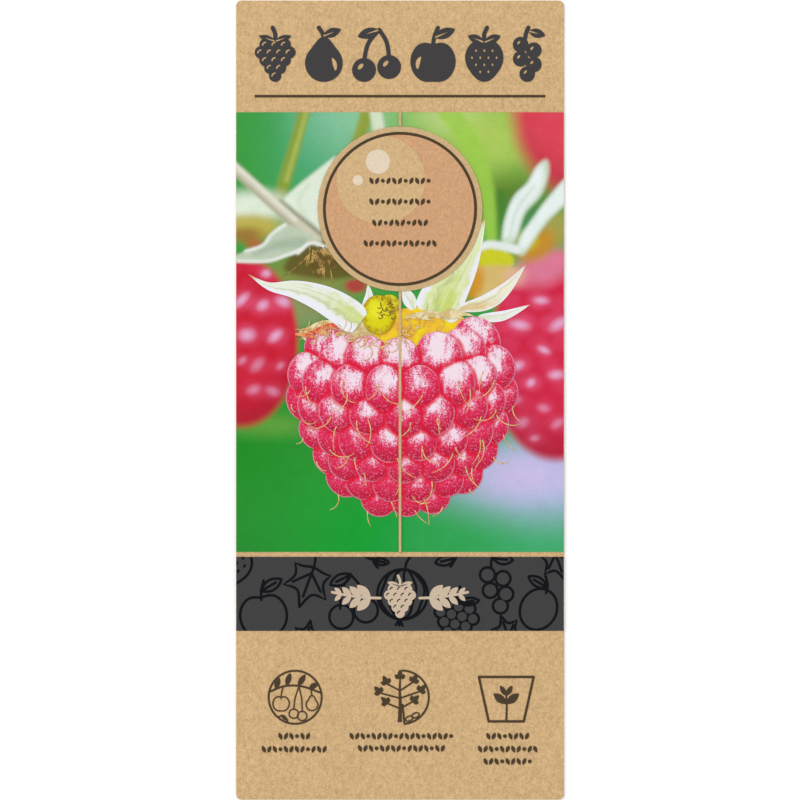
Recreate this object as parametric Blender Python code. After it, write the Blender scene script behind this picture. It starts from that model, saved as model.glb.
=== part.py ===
"""Printed plant label for a raspberry: a long card with rounded corners, lying face up.

Each printed area is a thin layer of its own on the face of the card.
X runs across the card, Y along it towards the header, and Z up from the underside.
Sizes and places are in millimetres, and MM turns them into Blender's metres.
"""

import math

import bmesh
import bpy
import numpy as np
from mathutils import Euler, Matrix, Vector
from mathutils.geometry import delaunay_2d_cdt

MM = 0.001

# Card
CARD_WIDTH = 70.0
CARD_LENGTH = 170.7
CARD_THICKNESS = 0.5
CORNER_RADIUS = 1.15

# Areas of the face, from the header down
HEADER_LENGTH = 23.9
PICTURE_LENGTH = 93.9
BARE_LINE = 1.05
BAND_LENGTH = 15.8
PICTURE_TOP = CARD_LENGTH / 2 - HEADER_LENGTH
PICTURE_BOTTOM = PICTURE_TOP - PICTURE_LENGTH
BAND_TOP = PICTURE_BOTTOM - BARE_LINE
BAND_BOTTOM = BAND_TOP - BAND_LENGTH
BAND_MIDDLE = (BAND_TOP + BAND_BOTTOM) / 2

# Heights of the layers over the underside of the card
FILM = 0.1
CARD_FACE = CARD_THICKNESS
PANEL_FACE = CARD_FACE + FILM
BAND_LINE_FACE = PANEL_FACE + 0.04
PICTURE_FACE = PANEL_FACE + FILM
BADGE_FACE = PICTURE_FACE + FILM
BADGE_INK = 0.06
GLOW_FACE = BADGE_FACE + BADGE_INK
GLOW_FILM = 0.03
MARK_FACE = GLOW_FACE + GLOW_FILM
MARK_FILM = 0.04

# Header
RULE_LENGTH = 62.1
RULE_WIDTH = 0.53
RULE_Y = 64.9
HEADER_BASE = 67.5
HEADER_HEIGHT = 12.5
HEADER_LINE = 0.9
SHINE_HALF_WIDTH = 0.033

# Badge
BADGE_Y = 40.8
BADGE_RADIUS = 17.6
BADGE_RING_RADIUS = 16.45
BADGE_RING_WIDTH = 0.6
BADGE_GAP = 0.03
GLOW_PLACE = (-4.1, 47.0)
GLOW_RADIUS = 9.5
LARGE_SPOT_PLACE = (-4.7, 50.9)
LARGE_SPOT_RADIUS = 2.6
SMALL_SPOT_PLACE = (-9.0, 46.9)
SMALL_SPOT_RADIUS = 1.1
BADGE_ROWS = ((46.8, 12.8), (42.35, 12.8), (37.85, 11.3), (33.45, 15.2))
MARK_HEIGHT = 1.6

# Line down the middle of the picture
CENTRE_LINE_WIDTH = 0.55
CENTRE_LINE_HEIGHT = 0.24
END_GAP = 0.05

# Ripe berry, which nods towards the viewer and leans a little
BERRY_BASE = (0.1, 14.9)
BERRY_LEAN = math.radians(2.0)
BERRY_NOD = math.radians(13.0)
BERRY_LENGTH = 42.5
BERRY_HALF_WIDTH = 24.9
TOP_CELL = 8.9
TIP_CELL = 6.1
CELL_RADII = (0.55, 0.60, 0.52)
CELL_SINK = 0.26
CELL_SETTLE = 0.10
FIRST_RING = 0.30
RING_SPACING = 0.80
CELL_SPACING = 0.93
FARTHEST_CELL = -2.0
PEAK_RING = 0.62
RELIEF_DEPTH = 8.0
RELIEF_REACH = BERRY_HALF_WIDTH + 12.0
RELIEF_LOW = PANEL_FACE + 0.005
RELIEF_HIGH = PANEL_FACE + 0.30
PROFILE_STEPS = 300
CELL_STEPS = 10

# Berries behind the ripe one, as their middle and reach
SOFT_BERRIES = (
    ("left", (-34.0, 12.0), (12.6, 17.0)),
    ("right", (33.5, 10.0), (14.8, 22.6)),
    ("far", (36.8, 56.5), (12.8, 11.5)),
)

# Knob and collar over the ripe berry
KNOB_PLACE = (-4.6, 18.2)
KNOB_REACH = (3.6, 4.2)
COLLAR = (
    (-6.0, 12.0), (-4.5, 15.2), (-1.0, 17.2), (3.5, 18.3), (8.5, 18.8),
    (12.2, 18.2), (12.8, 15.6), (6.0, 12.0), (0.0, 9.6),
)

SEPAL_FALL = 1.35
SEPAL_FOOT = 0.12
SEPAL_TIP = 0.02

# Sepals, as the points along their middle, half of their greatest width and how far along it lies
SEPALS = (
    (((-8.6, 16.6), (-12.3, 19.3), (-17.0, 21.8), (-22.5, 23.6), (-28.0, 24.3), (-32.5, 26.9)), 3.4, 0.20),
    (((-9.4, 16.2), (-7.4, 19.2), (-6.6, 22.0), (-6.9, 25.0)), 1.05, 0.5),
    (((3.0, 19.4), (1.8, 21.8), (0.5, 24.6)), 1.4, 0.45),
    (((7.8, 19.0), (10.0, 23.5), (13.5, 29.5), (16.3, 34.3), (18.3, 38.9)), 4.9, 0.10),
    (((12.8, 19.6), (18.5, 20.9), (23.0, 24.2), (27.0, 29.0)), 1.7, 0.4),
    (((16.8, 17.6), (22.0, 18.0), (27.9, 20.4)), 1.1, 0.4),
)

# Sepals of the berries behind, as the points along their middle and their widths at both ends
BACK_SEPALS = (
    (((-36.0, 50.0), (-30.5, 45.2), (-25.0, 40.6), (-21.6, 37.6), (-19.4, 35.4)), 2.4, 3.2),
    (((-17.5, 49.5), (-20.6, 45.2), (-21.2, 41.4), (-19.4, 36.8)), 6.0, 3.2),
    (((-20.6, 35.0), (-24.5, 34.2), (-28.5, 31.6), (-33.0, 30.4), (-35.5, 29.6)), 6.2, 1.0),
    (((22.2, 32.4), (23.5, 37.5), (25.5, 41.9), (28.8, 44.8), (31.2, 50.5)), 3.4, 2.4),
    (((24.2, 33.2), (28.8, 38.2), (35.6, 44.4)), 2.8, 3.0),
)

# Band under the picture
BAND_LINE = 0.55
NAME_SPRIG_PAIRS = 4
NAME_SPRIG_LENGTH = 10.4
NAME_SPRIG_DROP = 0.9
NAME_BERRY_SIZE = 8.4

# Footer
ICON_Y = -63.5
ICON_LINE = 0.42
ICON_FINE_LINE = 0.30
ICON_BRANCH = 0.36
RING_ICON_X = -22.4
RING_ICON_RADIUS = 5.87
SHRUB_ICON_X = 0.0
SHRUB_ICON_RADIUS = 5.7
SHRUB_LIFT = 0.35
POT_ICON_X = 22.7
POT_DROP = 0.4
POT_TOP_WIDTH = 11.7
POT_FOOT_WIDTH = 7.5
POT_HEIGHT = 9.5
POT_LINE = 0.52
CAPTION_COLUMNS = (
    ("left", -22.6, ((-71.8, 6.6), (-74.6, 13.9))),
    ("middle", 0.3, ((-71.8, 21.6), (-74.4, 18.4))),
    ("right", 23.0, ((-71.8, 8.8), (-74.55, 11.9), (-77.2, 10.3))),
)

# Colours as linear RGB, with roughness
KRAFT = ((0.651, 0.429, 0.212), 0.86)
INK = ((0.063, 0.060, 0.061), 0.62)
GARDEN_GREEN = ((0.075, 0.40, 0.075), 0.42)
CREAM = ((0.76, 0.78, 0.66), 0.42)
CALYX_YELLOW = ((0.55, 0.52, 0.05), 0.42)
RIPE_RED = ((0.66, 0.055, 0.10), 0.36)
COLLAR_ORANGE = ((0.78, 0.46, 0.06), 0.42)
SOFT_RED = ((0.52, 0.05, 0.085), 0.42)
BADGE_TAN = ((0.62, 0.36, 0.19), 0.8)
GLOW_TAN = ((0.67, 0.45, 0.23), 0.8)
SPOT_CREAM = ((0.80, 0.67, 0.51), 0.8)
BAND_TAN = ((0.63, 0.46, 0.36), 0.8)
BAND_BLACK = ((0.006, 0.007, 0.010), 0.6)

ROUND_STEPS = 12
CIRCLE_STEPS = 48
FLAT_ANGLE = math.radians(0.4)
MERGE_LIMIT = 1e-4
FLATNESS = 5e-3
SMALLEST_AREA = 0.02


def clear_scene():
    """Remove every object that the file opens with."""
    for item in list(bpy.data.objects):
        bpy.data.objects.remove(item, do_unlink=True)


def make_material(name, finish):
    """Make a plain Principled material from a colour and a roughness."""
    colour, roughness = finish
    material = bpy.data.materials.new(name)
    material.use_nodes = True
    shader = material.node_tree.nodes["Principled BSDF"]
    shader.inputs["Base Color"].default_value = (*colour, 1.0)
    shader.inputs["Roughness"].default_value = roughness
    shader.inputs["Metallic"].default_value = 0.0
    return material


def add_object(name, mesh, finish):
    """Link a mesh into the scene as a named object with its own material."""
    item = bpy.data.objects.new(name, mesh)
    item.data.materials.append(make_material(name + "_finish", finish))
    bpy.context.scene.collection.objects.link(item)
    return item


def ellipse(centre, radius_x, radius_y, steps=ROUND_STEPS, turn=0.0):
    """Outline of an ellipse, turned by an angle."""
    outline = []
    for step in range(steps):
        angle = 2.0 * math.pi * step / steps
        x = radius_x * math.cos(angle)
        y = radius_y * math.sin(angle)
        outline.append((
            centre[0] + x * math.cos(turn) - y * math.sin(turn),
            centre[1] + x * math.sin(turn) + y * math.cos(turn),
        ))
    return outline


def disc(centre, radius, steps=ROUND_STEPS):
    """Outline of a circle."""
    return ellipse(centre, radius, radius, steps)


def rectangle(left, bottom, right, top):
    """Outline of an upright rectangle."""
    return [(left, bottom), (right, bottom), (right, top), (left, top)]


def rounded_rectangle(width, length, radius, steps=5):
    """Outline of a rectangle about the middle, with its corners rounded."""
    outline = []
    for corner, (side_x, side_y) in enumerate(((1, 1), (-1, 1), (-1, -1), (1, -1))):
        for step in range(steps + 1):
            angle = math.pi / 2.0 * (corner + step / steps)
            outline.append((
                side_x * (width / 2 - radius) + radius * math.cos(angle),
                side_y * (length / 2 - radius) + radius * math.sin(angle),
            ))
    return outline


def curve_path(points, steps=3):
    """Smooth path through a few points, with some steps between each two."""
    path = []
    last = len(points) - 1
    for index in range(last):
        before = Vector(points[max(index - 1, 0)])
        start = Vector(points[index])
        end = Vector(points[index + 1])
        after = Vector(points[min(index + 2, last)])
        for step in range(steps):
            t = step / steps
            point = start * 2.0 + (end - before) * t
            point += (before * 2.0 - start * 5.0 + end * 4.0 - after) * t ** 2
            point += (start * 3.0 - before - end * 3.0 + after) * t ** 3
            path.append(tuple(point / 2.0))
    path.append(tuple(points[last]))
    return path


def bent_path(start, angle, length, bend, steps=8):
    """Path that leaves a point at an angle and turns steadily by the bend."""
    path = [tuple(start)]
    x, y = start
    for step in range(steps):
        heading = angle + bend * (step + 0.5) / steps
        x += length / steps * math.cos(heading)
        y += length / steps * math.sin(heading)
        path.append((x, y))
    return path


def side_points(path, half_width):
    """Points to the left and the right of a path, half_width being a function of 0 to 1."""
    left = []
    right = []
    last = len(path) - 1
    for index, point in enumerate(path):
        ahead = Vector(path[min(index + 1, last)])
        behind = Vector(path[max(index - 1, 0)])
        along = (ahead - behind).normalized()
        across = Vector((-along.y, along.x)) * half_width(index / last)
        left.append(tuple(Vector(point) + across))
        right.append(tuple(Vector(point) - across))
    return left, right


def blade(path, half_width):
    """Outline of a blade along a path, with a point at its tip."""
    left, right = side_points(path, half_width)
    return left[:-1] + [tuple(path[-1])] + right[-2::-1]


def stroke(path, width):
    """Outline of a line of even width along a path, with blunt points for ends."""
    left, right = side_points(path, lambda _: width / 2)
    start_along = (Vector(path[0]) - Vector(path[1])).normalized() * width / 2
    end_along = (Vector(path[-1]) - Vector(path[-2])).normalized() * width / 2
    start_cap = tuple(Vector(path[0]) + start_along)
    end_cap = tuple(Vector(path[-1]) + end_along)
    return [*left, end_cap, *right[::-1], start_cap]


def shrunk(outline, margin):
    """Outline drawn in towards its middle by about a margin."""
    middle = sum((Vector(point) for point in outline), Vector((0.0, 0.0))) / len(outline)
    result = []
    for point in outline:
        arm = Vector(point) - middle
        result.append(tuple(middle + arm * (1.0 - margin / arm.length)))
    return result


def closed_stroke(outline, width):
    """Line round a closed outline, as two strokes that share their ends."""
    half = len(outline) // 2
    return [stroke(outline[:half + 1], width), stroke([*outline[half:], outline[0]], width)]


def leaf_outline(base, tip, half_width, steps=4):
    """Outline of a plain leaf between its base and its tip."""
    path = [tuple(Vector(base).lerp(Vector(tip), step / steps)) for step in range(steps + 1)]
    return blade(path, lambda t: max(half_width * math.sin(math.pi * t) ** 0.8, half_width * 0.15))


def signed_area(outline):
    """Area of an outline, positive where it runs anticlockwise."""
    return sum(a[0] * b[1] - b[0] * a[1] for a, b in zip(outline, outline[1:] + outline[:1])) / 2.0


def covered_faces(shapes, cuts=(), over=(), within=None, inner_points=()):
    """Points and triangles of the shapes less the cuts, with more laid over both, inside a limit."""
    points = []
    polygons = []
    kinds = []
    groups = {"shape": shapes, "cut": cuts, "over": over, "limit": [within] if within else []}
    for kind, outlines in groups.items():
        for outline in outlines:
            ordered = outline if signed_area(outline) > 0 else outline[::-1]
            polygons.append(list(range(len(points), len(points) + len(outline))))
            points.extend(Vector(point) for point in ordered)
            kinds.append(kind)
    points.extend(Vector(point) for point in inner_points)
    result = delaunay_2d_cdt(points, [], polygons, 1, MERGE_LIMIT)
    faces = []
    for face, sources in zip(result[2], result[5]):
        owners = {kinds[source] for source in sources}
        printed = "over" in owners or ("shape" in owners and "cut" not in owners)
        if printed and (within is None or "limit" in owners):
            faces.append(list(face))
    return result[0], faces


def edge_loops(points, faces):
    """Closed outlines round an area made of triangles; holes run clockwise."""
    edges = {pair for face in faces for pair in zip(face, face[1:] + face[:1])}
    following = {start: end for start, end in edges if (end, start) not in edges}
    loops = []
    while following:
        first = min(following)
        index = following.pop(first)
        loop = [first]
        while index != first:
            loop.append(index)
            index = following.pop(index)
        loops.append(straightened([tuple(points[index]) for index in loop]))
    return [loop for loop in loops if abs(signed_area(loop)) > SMALLEST_AREA]


def straightened(loop):
    """Outline without the points that add nothing to its shape."""
    kept = []
    for index, point in enumerate(loop):
        before = Vector(kept[-1] if kept else loop[index - 1])
        after = Vector(loop[(index + 1) % len(loop)])
        here = Vector(point)
        chord = after - before
        offset = abs(chord.cross(here - before)) / max(chord.length, MERGE_LIMIT)
        if offset > FLATNESS and (here - before).length > FLATNESS:
            kept.append(point)
    return kept


def area_loops(shapes, cuts=(), over=(), within=None):
    """Outline of the largest area that overlapping shapes cover, and the holes."""
    loops = edge_loops(*covered_faces(shapes, cuts, over, within))
    largest = max(loops, key=signed_area)
    return largest, [loop for loop in loops if signed_area(loop) < 0]


def raised_mesh(name, points, faces, bottom, top_at):
    """Closed mesh over flat triangles, with a flat underside and a top at a height for each point."""
    bm = bmesh.new()
    low = {}
    high = {}
    edges = {pair for face in faces for pair in zip(face, face[1:] + face[:1])}
    for index in sorted({index for face in faces for index in face}):
        x, y = points[index]
        low[index] = bm.verts.new((x * MM, y * MM, bottom * MM))
        high[index] = bm.verts.new((x * MM, y * MM, top_at(x, y) * MM))
    for face in faces:
        bm.faces.new([high[index] for index in face])
        bm.faces.new([low[index] for index in reversed(face)])
    for start, end in sorted(edges):
        if (end, start) not in edges:
            bm.faces.new((low[start], low[end], high[end], high[start]))
    underside = list(low.values())
    flat_edges = [edge for edge in bm.edges if edge.verts[0] in underside and edge.verts[1] in underside]
    bmesh.ops.dissolve_limit(bm, angle_limit=FLAT_ANGLE, verts=underside, edges=flat_edges)
    bmesh.ops.triangulate(bm, faces=bm.faces[:])
    mesh = bpy.data.meshes.new(name)
    bm.to_mesh(mesh)
    bm.free()
    return mesh


def film(name, shapes, bottom, top, finish, cuts=(), over=(), within=None):
    """Add a flat printed layer, made from overlapping outlines, as an object."""
    outer, holes = area_loops(shapes, cuts, over, within)
    points, faces = covered_faces([outer], holes)
    return add_object(name, raised_mesh(name, points, faces, bottom, lambda x, y: top), finish)


class Spot:
    """Place, size and turn in degrees of a drawing made at unit size."""

    def __init__(self, place, size, turn=0.0):
        self.place = place
        self.size = size
        self.turn = math.radians(turn)

    def put(self, outline):
        """Outline scaled, turned and put in its place."""
        across = self.size * math.cos(self.turn)
        along = self.size * math.sin(self.turn)
        return [
            (self.place[0] + x * across - y * along, self.place[1] + x * along + y * across)
            for x, y in outline
        ]


class Fruit:
    """Drawing of a fruit at unit size, either solid with bare marks or in lines."""

    def __init__(self, bodies=(), cells=(), leaves=(), lines=(), inner=(), marks=()):
        self.bodies = list(bodies)
        self.cells = list(cells)
        self.leaves = list(leaves)
        self.lines = list(lines)
        self.inner = list(inner)
        self.marks = list(marks)

    def box(self):
        """Left, bottom, right and top of the drawing."""
        points = [point for outline in self.bodies + self.cells + self.leaves + self.lines for point in outline]
        across = [x for x, _ in points]
        along = [y for _, y in points]
        return min(across), min(along), max(across), max(along)

    def solid(self, name, spot, width, bottom, top, finish):
        """Add the fruit as solid ink with its marks bare."""
        shapes = [spot.put(outline) for outline in self.bodies + self.cells + self.leaves]
        shapes += [stroke(spot.put(line), width) for line in self.lines]
        film(name, shapes, bottom, top, finish, [spot.put(mark) for mark in self.marks])

    def outlined(self, name, spot, width, bottom, top, finish, limit):
        """Add the fruit as a line drawing inside a limit."""
        cells = [spot.put(outline) for outline in self.cells]
        over = [line for outline in self.bodies + self.leaves for line in closed_stroke(spot.put(outline), width)]
        over += [stroke(spot.put(line), width) for line in self.lines + self.inner]
        film(name, cells, bottom, top, finish, [shrunk(outline, width) for outline in cells], over, limit)


def polar_outline(middle_y, radius, steps):
    """Outline whose radius is a function of the angle from straight up."""
    outline = []
    for step in range(steps):
        angle = 2.0 * math.pi * step / steps
        reach = radius(angle)
        outline.append((-reach * math.sin(angle), middle_y + reach * math.cos(angle)))
    return outline


def bump(angle, at, width):
    """Bell-shaped bump of a polar outline about one angle."""
    away = abs((angle - at + math.pi) % (2.0 * math.pi) - math.pi)
    return math.exp(-(away / width) ** 2)


def shine(start, heading, length, bend):
    """Short curved mark left bare where a fruit shines."""
    return blade(bent_path(start, math.radians(heading), length, math.radians(bend), 3), lambda t: SHINE_HALF_WIDTH)


def apple():
    """Apple with a dip at its top and foot, a stalk and a leaf."""

    def reach(angle):
        return 0.37 - 0.08 * bump(angle, 0.0, 0.45) - 0.04 * bump(angle, math.pi, 0.4)

    return Fruit(
        bodies=[polar_outline(-0.13, reach, 16)],
        leaves=[leaf_outline((0.02, 0.26), (0.36, 0.40), 0.085)],
        lines=[curve_path([(0.0, 0.12), (0.02, 0.27), (0.08, 0.42)], 2)],
        marks=[shine((-0.25, -0.25), 100, 0.22, -50)],
    )


def pear():
    """Pear with a slim neck, a bent stalk and a leaf."""
    return Fruit(
        bodies=[polar_outline(-0.17, lambda a: 0.33 + 0.13 * bump(a, 0.0, 0.42), 16)],
        leaves=[leaf_outline((-0.02, 0.30), (0.30, 0.42), 0.08)],
        lines=[curve_path([(0.0, 0.22), (-0.02, 0.34), (-0.09, 0.45)], 2)],
        marks=[shine((0.20, -0.30), 85, 0.24, 42)],
    )


def plum():
    """Plum with its crease, a short stalk and a leaf."""
    return Fruit(
        bodies=[ellipse((0.0, -0.14), 0.31, 0.36, 14, math.radians(-12))],
        leaves=[leaf_outline((0.05, 0.26), (-0.30, 0.36), 0.08)],
        lines=[curve_path([(0.06, 0.16), (0.05, 0.30), (-0.02, 0.44)], 2)],
        marks=[shine((-0.02, -0.36), 62, 0.36, 52)],
    )


def cherries():
    """Two cherries on long stalks that meet under a leaf."""
    radius = 0.205
    return Fruit(
        bodies=[disc((-0.21, -0.27), radius, 12), disc((0.22, -0.22), radius, 12)],
        leaves=[leaf_outline((0.05, 0.42), (-0.32, 0.30), 0.09)],
        lines=[
            curve_path([(-0.21, -0.13), (-0.14, 0.18), (0.05, 0.42)], 2),
            curve_path([(0.22, -0.08), (0.18, 0.20), (0.05, 0.42)], 2),
        ],
        marks=[disc((-0.27, -0.21), 0.05, 5), disc((0.16, -0.16), 0.05, 5)],
    )


def strawberry():
    """Strawberry with seeds and a crown of leaves."""
    fruit = Fruit(
        bodies=[polar_outline(-0.08, lambda a: 0.34 + 0.09 * bump(a, math.pi, 0.55), 14)],
        lines=[curve_path([(0.0, 0.25), (0.0, 0.34), (0.05, 0.45)], 2)],
    )
    for angle in (25.0, 155.0):
        tip = (0.32 * math.cos(math.radians(angle)), 0.22 + 0.20 * math.sin(math.radians(angle)))
        fruit.leaves.append(leaf_outline((0.0, 0.19), tip, 0.075))
    for row, count in enumerate((3, 2, 1)):
        for index in range(count):
            place = ((index - (count - 1) / 2) * 0.19, 0.02 - 0.15 * row)
            fruit.marks.append(disc(place, 0.035, 4))
    return fruit


def raspberry():
    """Raspberry of round cells with a crown of leaves."""
    fruit = Fruit(lines=[curve_path([(0.0, 0.24), (0.0, 0.34), (-0.05, 0.46)], 2)])
    cell = 0.125
    for row, count in enumerate((3, 4, 3, 2, 1)):
        for index in range(count):
            place = ((index - (count - 1) / 2) * cell * 1.5, 0.12 - row * cell * 1.22)
            fruit.cells.append(disc(place, cell, 8))
            fruit.marks.append(disc(place, cell * 0.3, 4))
    for angle in (20.0, 160.0):
        tip = (0.34 * math.cos(math.radians(angle)), 0.22 + 0.22 * math.sin(math.radians(angle)))
        fruit.leaves.append(leaf_outline((0.0, 0.19), tip, 0.065))
    return fruit


def currants():
    """Hanging bunch of currants on one strand."""
    fruit = Fruit(
        leaves=[leaf_outline((0.02, 0.40), (0.32, 0.32), 0.08)],
        lines=[curve_path([(0.02, 0.46), (-0.02, 0.36), (-0.04, 0.26)], 2)],
    )
    for side, y in ((-1, 0.16), (1, 0.06), (-1, -0.09), (1, -0.19), (0, -0.36)):
        fruit.cells.append(disc((side * 0.116, y), 0.138, 12))
        fruit.marks.append(disc((side * 0.13, y + 0.01), 0.035, 4))
    return fruit


def gooseberry():
    """Gooseberry with wavy stripes, a stalk and a dry tuft."""
    middle_y, reach = -0.05, 0.37
    fruit = Fruit(
        bodies=[disc((0.0, middle_y), reach, 24)],
        lines=[curve_path([(0.0, middle_y + reach - 0.006), (0.01, 0.42), (0.06, 0.52)], 2)],
    )
    for longitude in (-58.0, -30.0, 0.0, 30.0, 58.0):
        stripe = []
        for step in range(10):
            latitude = math.radians(82.0 - 18.2 * step)
            wave = 0.016 * math.sin(5.0 * latitude) * math.cos(latitude)
            x = reach * math.sin(math.radians(longitude)) * math.cos(latitude) + wave
            stripe.append((x, middle_y + reach * math.sin(latitude)))
        fruit.inner.append(stripe)
    for side in (-1, 0, 1):
        foot = middle_y - reach + 0.006
        fruit.lines.append([(side * 0.004, foot), (side * 0.05, foot - 0.096)])
    return fruit


def lobed_leaf():
    """Leaf with five pointed lobes, their veins and a stalk."""
    lobes = ((0.0, 0.25), (60.0, 0.21), (-60.0, 0.21), (120.0, 0.14), (-120.0, 0.14))

    def reach(angle):
        away = [abs((angle - math.radians(at) + math.pi) % (2.0 * math.pi) - math.pi) for at, _ in lobes]
        return 0.22 + sum(rise * max(1.0 - near / 0.62, 0.0) ** 0.8 for near, (_, rise) in zip(away, lobes))

    fruit = Fruit(
        bodies=[polar_outline(0.0, reach, 36)],
        lines=[curve_path([(0.0, -0.02), (0.0, -0.26), (0.06, -0.50)], 2)],
    )
    for at, rise in lobes[:3]:
        heading = math.radians(at)
        length = 0.12 + 0.5 * rise
        fruit.inner.append([(0.0, -0.12), (-length * math.sin(heading), -0.02 + length * math.cos(heading))])
    return fruit


BAND_MOTIFS = (
    (apple, (-29.4, -2.9), 13.5, 8.0),
    (lobed_leaf, (-19.4, 3.0), 12.5, 160.0),
    (cherries, (-10.4, -1.2), 12.5, 8.0),
    (gooseberry, (0.6, 0.6), 14.5, -6.0),
    (raspberry, (12.2, -4.2), 12.5, -12.0),
    (currants, (20.6, 2.2), 13.5, 10.0),
    (plum, (30.0, -1.6), 12.5, -14.0),
)


def sprig(foot, direction, length, pairs, line):
    """Shapes of a sprig of paired leaves that grows to one side of its foot."""
    path = bent_path((0.0, 0.0), 0.0, length, math.radians(14), pairs + 1)
    shapes = [stroke(path, line)]
    for index in range(1, pairs + 1):
        x, y = path[index]
        reach = length * (0.36 - 0.20 * index / pairs)
        for side in (1, -1):
            shapes.append(leaf_outline((x, y), (x + reach * 0.9, y + side * reach * 0.85), reach * 0.29, 3))
    return [[(foot[0] + x * direction, foot[1] + y) for x, y in outline] for outline in shapes]


def berry_girth(share):
    """Girth of the ripe berry at a share of its length, as a share of its half width."""
    shoulder = 0.70 + 0.30 * math.sin(math.pi / 2.0 * min(share / 0.26, 1.0))
    return shoulder * max(1.0 - share ** 2.5, 0.0) ** 0.62


def relief(height):
    """Height over the card for a height in the round berry."""
    share = (height + RELIEF_DEPTH) / RELIEF_REACH
    return RELIEF_LOW + min(max(share, 0.0), 1.0) * (RELIEF_HIGH - RELIEF_LOW)


class Cell:
    """Round cell of the ripe berry, seen from the front as an ellipse."""

    def __init__(self, place, turn, radii):
        self.place = place
        self.rise = radii.z
        form = turn @ Matrix.Diagonal([part ** 2 for part in radii]) @ turn.transposed()
        self.across = math.sqrt(form[0][0])
        self.shear = form[0][1] / self.across
        self.along = math.sqrt(form[1][1] - self.shear ** 2)

    def ring(self, scale=1.0, margin=0.0, steps=CELL_STEPS):
        """Outline of the cell at a scale, grown by a margin."""
        across = self.across * scale + margin
        along = self.along * scale + margin
        shear = self.shear * scale
        points = []
        for step in range(steps):
            angle = 2.0 * math.pi * step / steps
            x = across * math.cos(angle)
            points.append((self.place.x + x, self.place.y + shear * math.cos(angle) + along * math.sin(angle)))
        return points

    def height(self, x, y):
        """Height in the round over a point, or None beside the cell."""
        first = (x - self.place.x) / self.across
        second = (y - self.place.y - self.shear * first) / self.along
        inside = 1.0 - first * first - second * second
        if inside < -FLATNESS:
            return None
        return self.place.z + self.rise * math.sqrt(max(inside, 0.0))


class Berry:
    """Ripe berry seen from its side, as cells in rings about its axis."""

    def __init__(self):
        self.turn = Euler((BERRY_NOD, 0.0, BERRY_LEAN), "XYZ").to_matrix()
        shares = np.linspace(0.0, 1.0, PROFILE_STEPS + 1)
        reach = np.array([BERRY_HALF_WIDTH * berry_girth(share) for share in shares]) - TOP_CELL * CELL_SINK
        reach = np.maximum(reach, 0.0)
        travelled = np.concatenate([[0.0], np.cumsum(np.hypot(np.diff(reach), BERRY_LENGTH / PROFILE_STEPS))])
        self.cells = []
        at = TOP_CELL * FIRST_RING
        row = 0
        while at < travelled[-1]:
            size = TOP_CELL + (TIP_CELL - TOP_CELL) * at / travelled[-1]
            radius = np.interp(at, travelled, reach)
            ahead = np.interp(at + 1.0, travelled, reach) - radius
            self.add_ring(np.interp(at, travelled, shares), radius, ahead, size, 0.5 * (row % 2))
            at += size * RING_SPACING
            row += 1

    def add_ring(self, share, radius, ahead, size, shift):
        """Add one ring of cells at a share of the length; ahead is the radius that it gains in 1 mm."""
        fall = math.sqrt(max(1.0 - ahead * ahead, 0.0))
        count = max(1, round(2.0 * math.pi * radius / (size * CELL_SPACING)))
        for index in range(count):
            angle = 2.0 * math.pi * (index + shift) / count
            outward = Vector((fall * math.sin(angle), ahead, fall * math.cos(angle)))
            around = Vector((math.cos(angle), 0.0, -math.sin(angle)))
            axes = Matrix((around, outward.cross(around), outward)).transposed()
            place = Vector((radius * math.sin(angle), -BERRY_LENGTH * share, radius * math.cos(angle)))
            place = self.turn @ (place - outward * size * CELL_SETTLE) + Vector((*BERRY_BASE, 0.0))
            if place.z > FARTHEST_CELL:
                radii = Vector([part * size for part in CELL_RADII])
                self.cells.append(Cell(place, self.turn @ axes, radii))

    def outlines(self, grow=0.0):
        """Outline of every cell, grown by a margin."""
        return [cell.ring(margin=grow) for cell in self.cells]

    def height(self, x, y):
        """Height in the round of the nearest cell to the viewer at a point."""
        heights = [cell.height(x, y) for cell in self.cells]
        return max((height for height in heights if height is not None), default=0.0)

    def relief_points(self):
        """Points that carry the relief: each cell's peak, a ring on it, and the valleys between cells."""
        points = []
        for cell in self.cells:
            for x, y in [tuple(cell.place.xy), *cell.ring(PEAK_RING, steps=6)]:
                if cell.height(x, y) >= self.height(x, y):
                    points.append((x, y))
        for index, first in enumerate(self.cells):
            for second in self.cells[index + 1:]:
                if (first.place - second.place).length < TOP_CELL:
                    points.append(tuple(((first.place + second.place) / 2).xy))
        return points


def berry_relief(name, berry, finish, within):
    """Add the low relief of the part of a berry that lies inside a limit."""
    outer, _ = area_loops(berry.outlines(), within=within)
    points, faces = covered_faces([outer], inner_points=berry.relief_points())
    mesh = raised_mesh(name, points, faces, PANEL_FACE, lambda x, y: relief(berry.height(x, y)))
    return add_object(name, mesh, finish)


def make_card():
    """Card itself: a thin board with rounded corners."""
    film("card", [rounded_rectangle(CARD_WIDTH, CARD_LENGTH, CORNER_RADIUS)], 0.0, CARD_FACE, KRAFT)


def header_spots(fruits):
    """Stand the fruits on one line at one height, with equal gaps over the width of the rule."""
    boxes = [fruit.box() for fruit in fruits]
    sizes = [(HEADER_HEIGHT - HEADER_LINE) / (top - bottom) for _, bottom, _, top in boxes]
    widths = [size * (right - left) for size, (left, _, right, _) in zip(sizes, boxes)]
    gap = (RULE_LENGTH - sum(widths)) / (len(fruits) - 1)
    spots = []
    x = -RULE_LENGTH / 2
    for size, width, (left, bottom, _, _) in zip(sizes, widths, boxes):
        spots.append(Spot((x - size * left, HEADER_BASE + HEADER_LINE / 2 - size * bottom), size))
        x += width + gap
    return spots


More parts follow.
